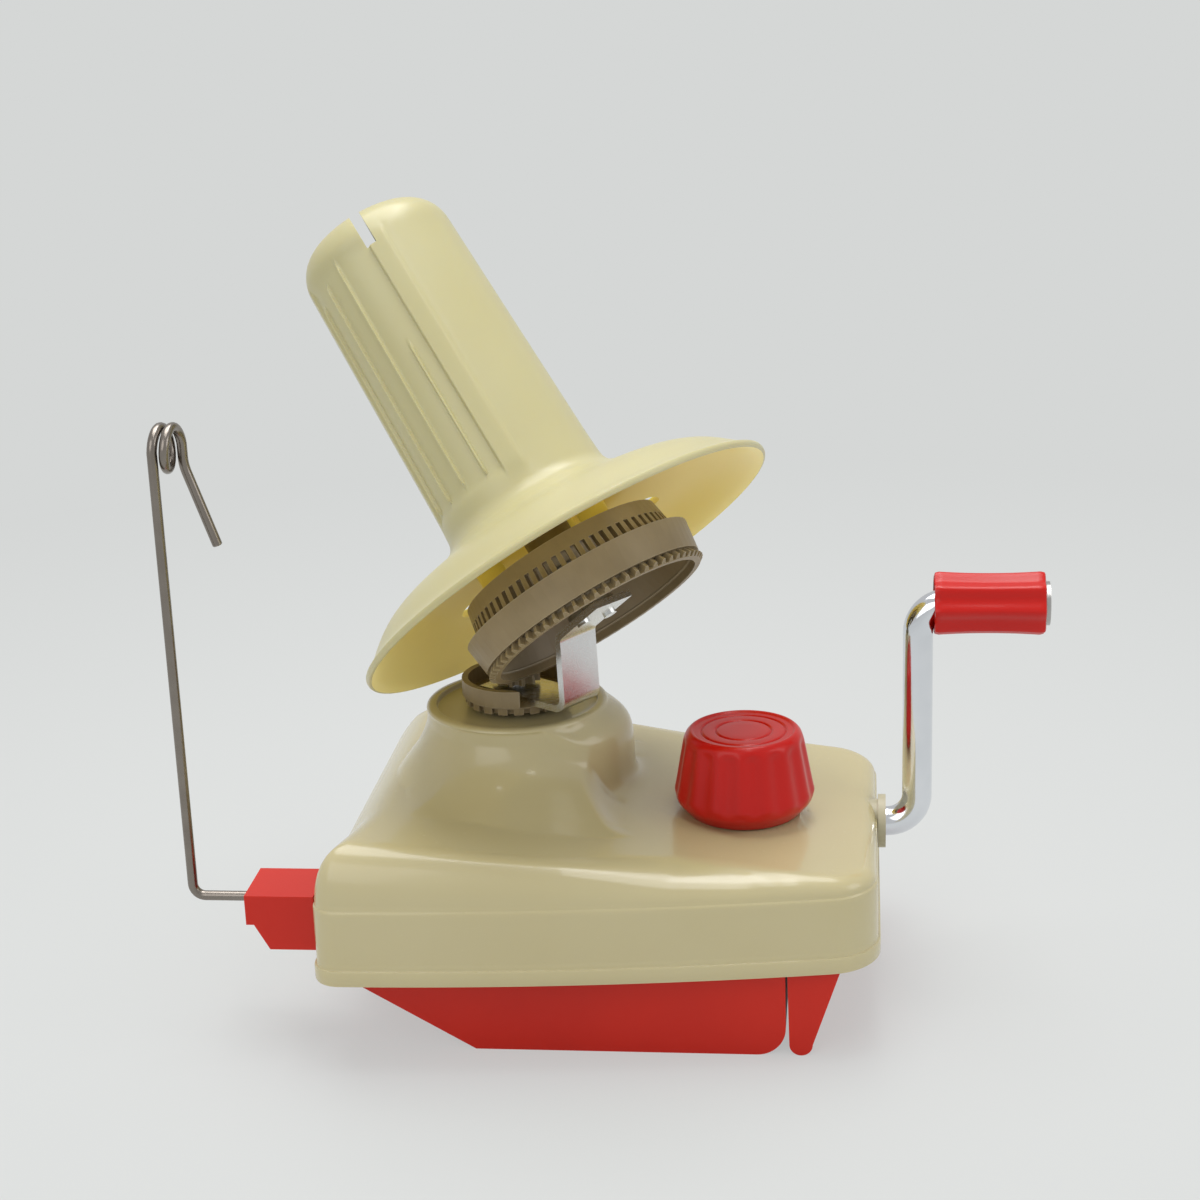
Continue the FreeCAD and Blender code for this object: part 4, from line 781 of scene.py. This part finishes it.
def roundedRuns(points, radius, steps=9):
    # straight runs joined by arcs
    points = np.asarray(points, float)
    made = [points[0]]
    for before, corner, after in zip(points[:-2], points[1:-1], points[2:]):
        toStart = (before - corner) / np.linalg.norm(before - corner)
        toEnd = (after - corner) / np.linalg.norm(after - corner)
        half = math.acos(float(np.clip(toStart @ toEnd, -1, 1))) / 2
        setback = radius / math.tan(half)
        middle = toStart + toEnd
        centre = corner + middle / np.linalg.norm(middle) * radius / math.sin(half)
        entry = corner + toStart * setback
        leave = corner + toEnd * setback
        for share in np.linspace(0, 1, steps):
            way = (entry - centre) * (1 - share) + (leave - centre) * share
            made.append(centre + way / np.linalg.norm(way) * radius)
    made.append(points[-1])
    return np.array(made)


def sweepTube(line, radius, sides, taper=0.25):
    # round bar along a line, its ends closed by small rounded caps
    line = np.asarray(line, float)
    tangents = np.gradient(line, axis=0)
    tangents /= np.linalg.norm(tangents, axis=1)[:, None]
    side = np.cross(tangents[0], (0.0, 0.0, 1.0))
    if np.linalg.norm(side) < 0.1:
        side = np.cross(tangents[0], (0.0, 1.0, 0.0))
    side /= np.linalg.norm(side)
    angles = np.linspace(0, 2 * np.pi, sides, endpoint=False)
    rings = []

    def ring(centre, tangent, size):
        other = np.cross(tangent, side)
        rings.append(centre + size * (np.cos(angles)[:, None] * side + np.sin(angles)[:, None] * other))

    ring(line[0], tangents[0], 0.001)
    ring(line[0], tangents[0], radius - taper)
    ring(line[0] + tangents[0] * taper, tangents[0], radius)
    for index in range(1, len(line) - 1):
        side = side - tangents[index] * (side @ tangents[index])
        side /= np.linalg.norm(side)
        ring(line[index], tangents[index], radius)
    side = side - tangents[-1] * (side @ tangents[-1])
    side /= np.linalg.norm(side)
    ring(line[-1] - tangents[-1] * taper, tangents[-1], radius)
    ring(line[-1], tangents[-1], radius - taper)
    ring(line[-1], tangents[-1], 0.001)
    return np.array(rings)


def makeGuide():
    y, x, top = guide["y"], guide["x"], guide["top"]
    stem = roundedRuns([(guide["holderLeft"] + guide["depth"], y, guide["height"]), (x, y, guide["height"]),
                        (x, y, top)], guide["bend"])
    line = list(stem)
    near = np.array((x, y, top))
    turns = guide["halfTurns"] * 14
    for step in range(1, turns + 1):
        turn = math.pi * step / 14
        line.append(near + np.array((guide["pitch"] / 2 * step / 14, guide["eye"] * (1 - math.cos(turn)),
                                     guide["eye"] * math.sin(turn))))
    last = line[-1]
    endX, endZ = guide["limbEnd"]
    limb = roundedRuns([last, last - np.array((0, 0, guide["limbStraight"])), (endX, last[1], endZ)],
                       guide["limbBend"])
    line += limb[1:].tolist()
    keep = [line[0]]
    for point in line[1:]:
        if np.linalg.norm(np.asarray(point) - keep[-1]) > 0.2:
            keep.append(point)
    rings = sweepTube(keep, guide["radius"], guide["sides"])
    piece = setPiece("guideRod", rings, gridFaces(len(rings), guide["sides"]), housingFrame, "guide_wire_steel",
                     "guide", ("guide_wire",))
    shadeByAngle(piece, 40)
    return piece


makeHousing()
print("housing made")
makeBobbin()
print("bobbin made")
makeKnob()
makeGrip()
makeGuide()
print("knob, grip and wire guide made")


# stage, light and camera
studio = {
    "paper": (0.665, 0.679, 0.672, 1.0),      # the pale backdrop, as the camera sees it
    "worldLight": 0.6,
    "shadowShare": 0.34,                      # how much of the floor near the object takes its shadow
}


def makeStage():
    mesh = bpy.data.meshes.new("floor")
    reach = 60.0
    corners = [(-reach, -reach, 0.0), (reach, -reach, 0.0), (reach, reach, 0.0), (-reach, reach, 0.0)]
    mesh.from_pydata(corners, [], [(0, 1, 2, 3)])
    floor = bpy.data.objects.new("floor", mesh)
    bpy.context.scene.collection.objects.link(floor)
    paint = Paint("floorPaper")
    lit = paint.add("ShaderNodeBsdfDiffuse", {}, {"Color": studio["paper"]})
    shown = paint.add("ShaderNodeEmission", {}, {"Color": studio["paper"], "Strength": 1.0})
    where = paint.add("ShaderNodeTexCoord", output="Object")
    away = paint.add("ShaderNodeVectorMath", {"operation": "LENGTH"}, {0: where}, "Value")
    near = 1.0 - ((away - 0.12) / 0.5).clamped()
    camera = paint.add("ShaderNodeLightPath", output="Is Camera Ray")
    glossy = paint.add("ShaderNodeLightPath", output="Is Glossy Ray")
    through = paint.add("ShaderNodeLightPath", output="Is Transmission Ray")
    seen = (camera + glossy + through).clamped()
    share = seen * (1.0 - near * studio["shadowShare"])
    mixed = paint.add("ShaderNodeMixShader", {}, {0: share, 1: lit, 2: shown})
    paint.links.new(mixed.socket, paint.end.inputs["Surface"])
    mesh.materials.append(paint.material)


def makeWorld():
    world = bpy.data.worlds.new("studio")
    bpy.context.scene.world = world
    world.use_nodes = True
    tree = world.node_tree
    tree.nodes.clear()
    end = tree.nodes.new("ShaderNodeOutputWorld")
    light = tree.nodes.new("ShaderNodeBackground")
    shown = tree.nodes.new("ShaderNodeBackground")
    pick = tree.nodes.new("ShaderNodeMixShader")
    path = tree.nodes.new("ShaderNodeLightPath")
    seen = tree.nodes.new("ShaderNodeMath")
    seen.operation = "MAXIMUM"
    light.inputs["Color"].default_value = (1.0, 1.0, 1.0, 1.0)
    light.inputs["Strength"].default_value = studio["worldLight"]
    shown.inputs["Color"].default_value = studio["paper"]
    shown.inputs["Strength"].default_value = 1.0
    tree.links.new(path.outputs["Is Camera Ray"], seen.inputs[0])
    tree.links.new(path.outputs["Is Transmission Ray"], seen.inputs[1])
    tree.links.new(seen.outputs[0], pick.inputs[0])
    tree.links.new(light.outputs[0], pick.inputs[1])
    tree.links.new(shown.outputs[0], pick.inputs[2])
    tree.links.new(pick.outputs[0], end.inputs["Surface"])


lampBook = {
    # name: place in m, aim in m, size in m, its depth in m, watts
    "topPanel": ((-0.1, 0.2, 1.15), (0.0, 0.0, 0.08), 0.9, 0.9, 9.4),
    "topStrip": ((0.1, 0.02, 1.0), (0.0, 0.0, 0.08), 1.1, 0.12, 1.8),
    "frontFill": ((-0.5, -0.95, 0.65), (0.0, 0.0, 0.1), 0.8, 0.8, 2.5),
    "rightPanel": ((0.95, -0.25, 0.5), (0.0, 0.0, 0.09), 0.5, 0.5, 1.3),
}


def makeLamps():
    for name, (place, aim, size, deep, watts) in lampBook.items():
        lamp = bpy.data.lights.new(name, "AREA")
        lamp.shape = "RECTANGLE"
        lamp.size = size
        lamp.size_y = deep
        lamp.energy = watts
        holder = bpy.data.objects.new(name, lamp)
        holder.location = place
        holder.rotation_euler = (Vector(aim) - Vector(place)).to_track_quat("-Z", "Y").to_euler()
        bpy.context.scene.collection.objects.link(holder)


view = {
    "place": (71.45 * mm, -614.63 * mm, 309.09 * mm),
    "right": (0.99361, 0.10734, -0.03487),
    "forward": (-0.11286, 0.94747, -0.29925),
    "lens": 69.0,
    "film": 36.0,
}


def makeCamera():
    lens = bpy.data.cameras.new("photoView")
    lens.sensor_width = view["film"]
    lens.lens = view["lens"]
    lens.clip_start = 0.01
    camera = bpy.data.objects.new("photoView", lens)
    right = Vector(view["right"]).normalized()
    back = -Vector(view["forward"]).normalized()
    up = back.cross(right).normalized()
    right = up.cross(back)
    turn = Matrix((right, up, back)).transposed().to_4x4()
    camera.matrix_world = Matrix.Translation(Vector(view["place"])) @ turn
    bpy.context.scene.collection.objects.link(camera)
    bpy.context.scene.camera = camera


makeStage()
makeWorld()
makeLamps()
makeCamera()
bpy.context.scene.view_settings.view_transform = "Standard"
print("stage, lamps and camera set")
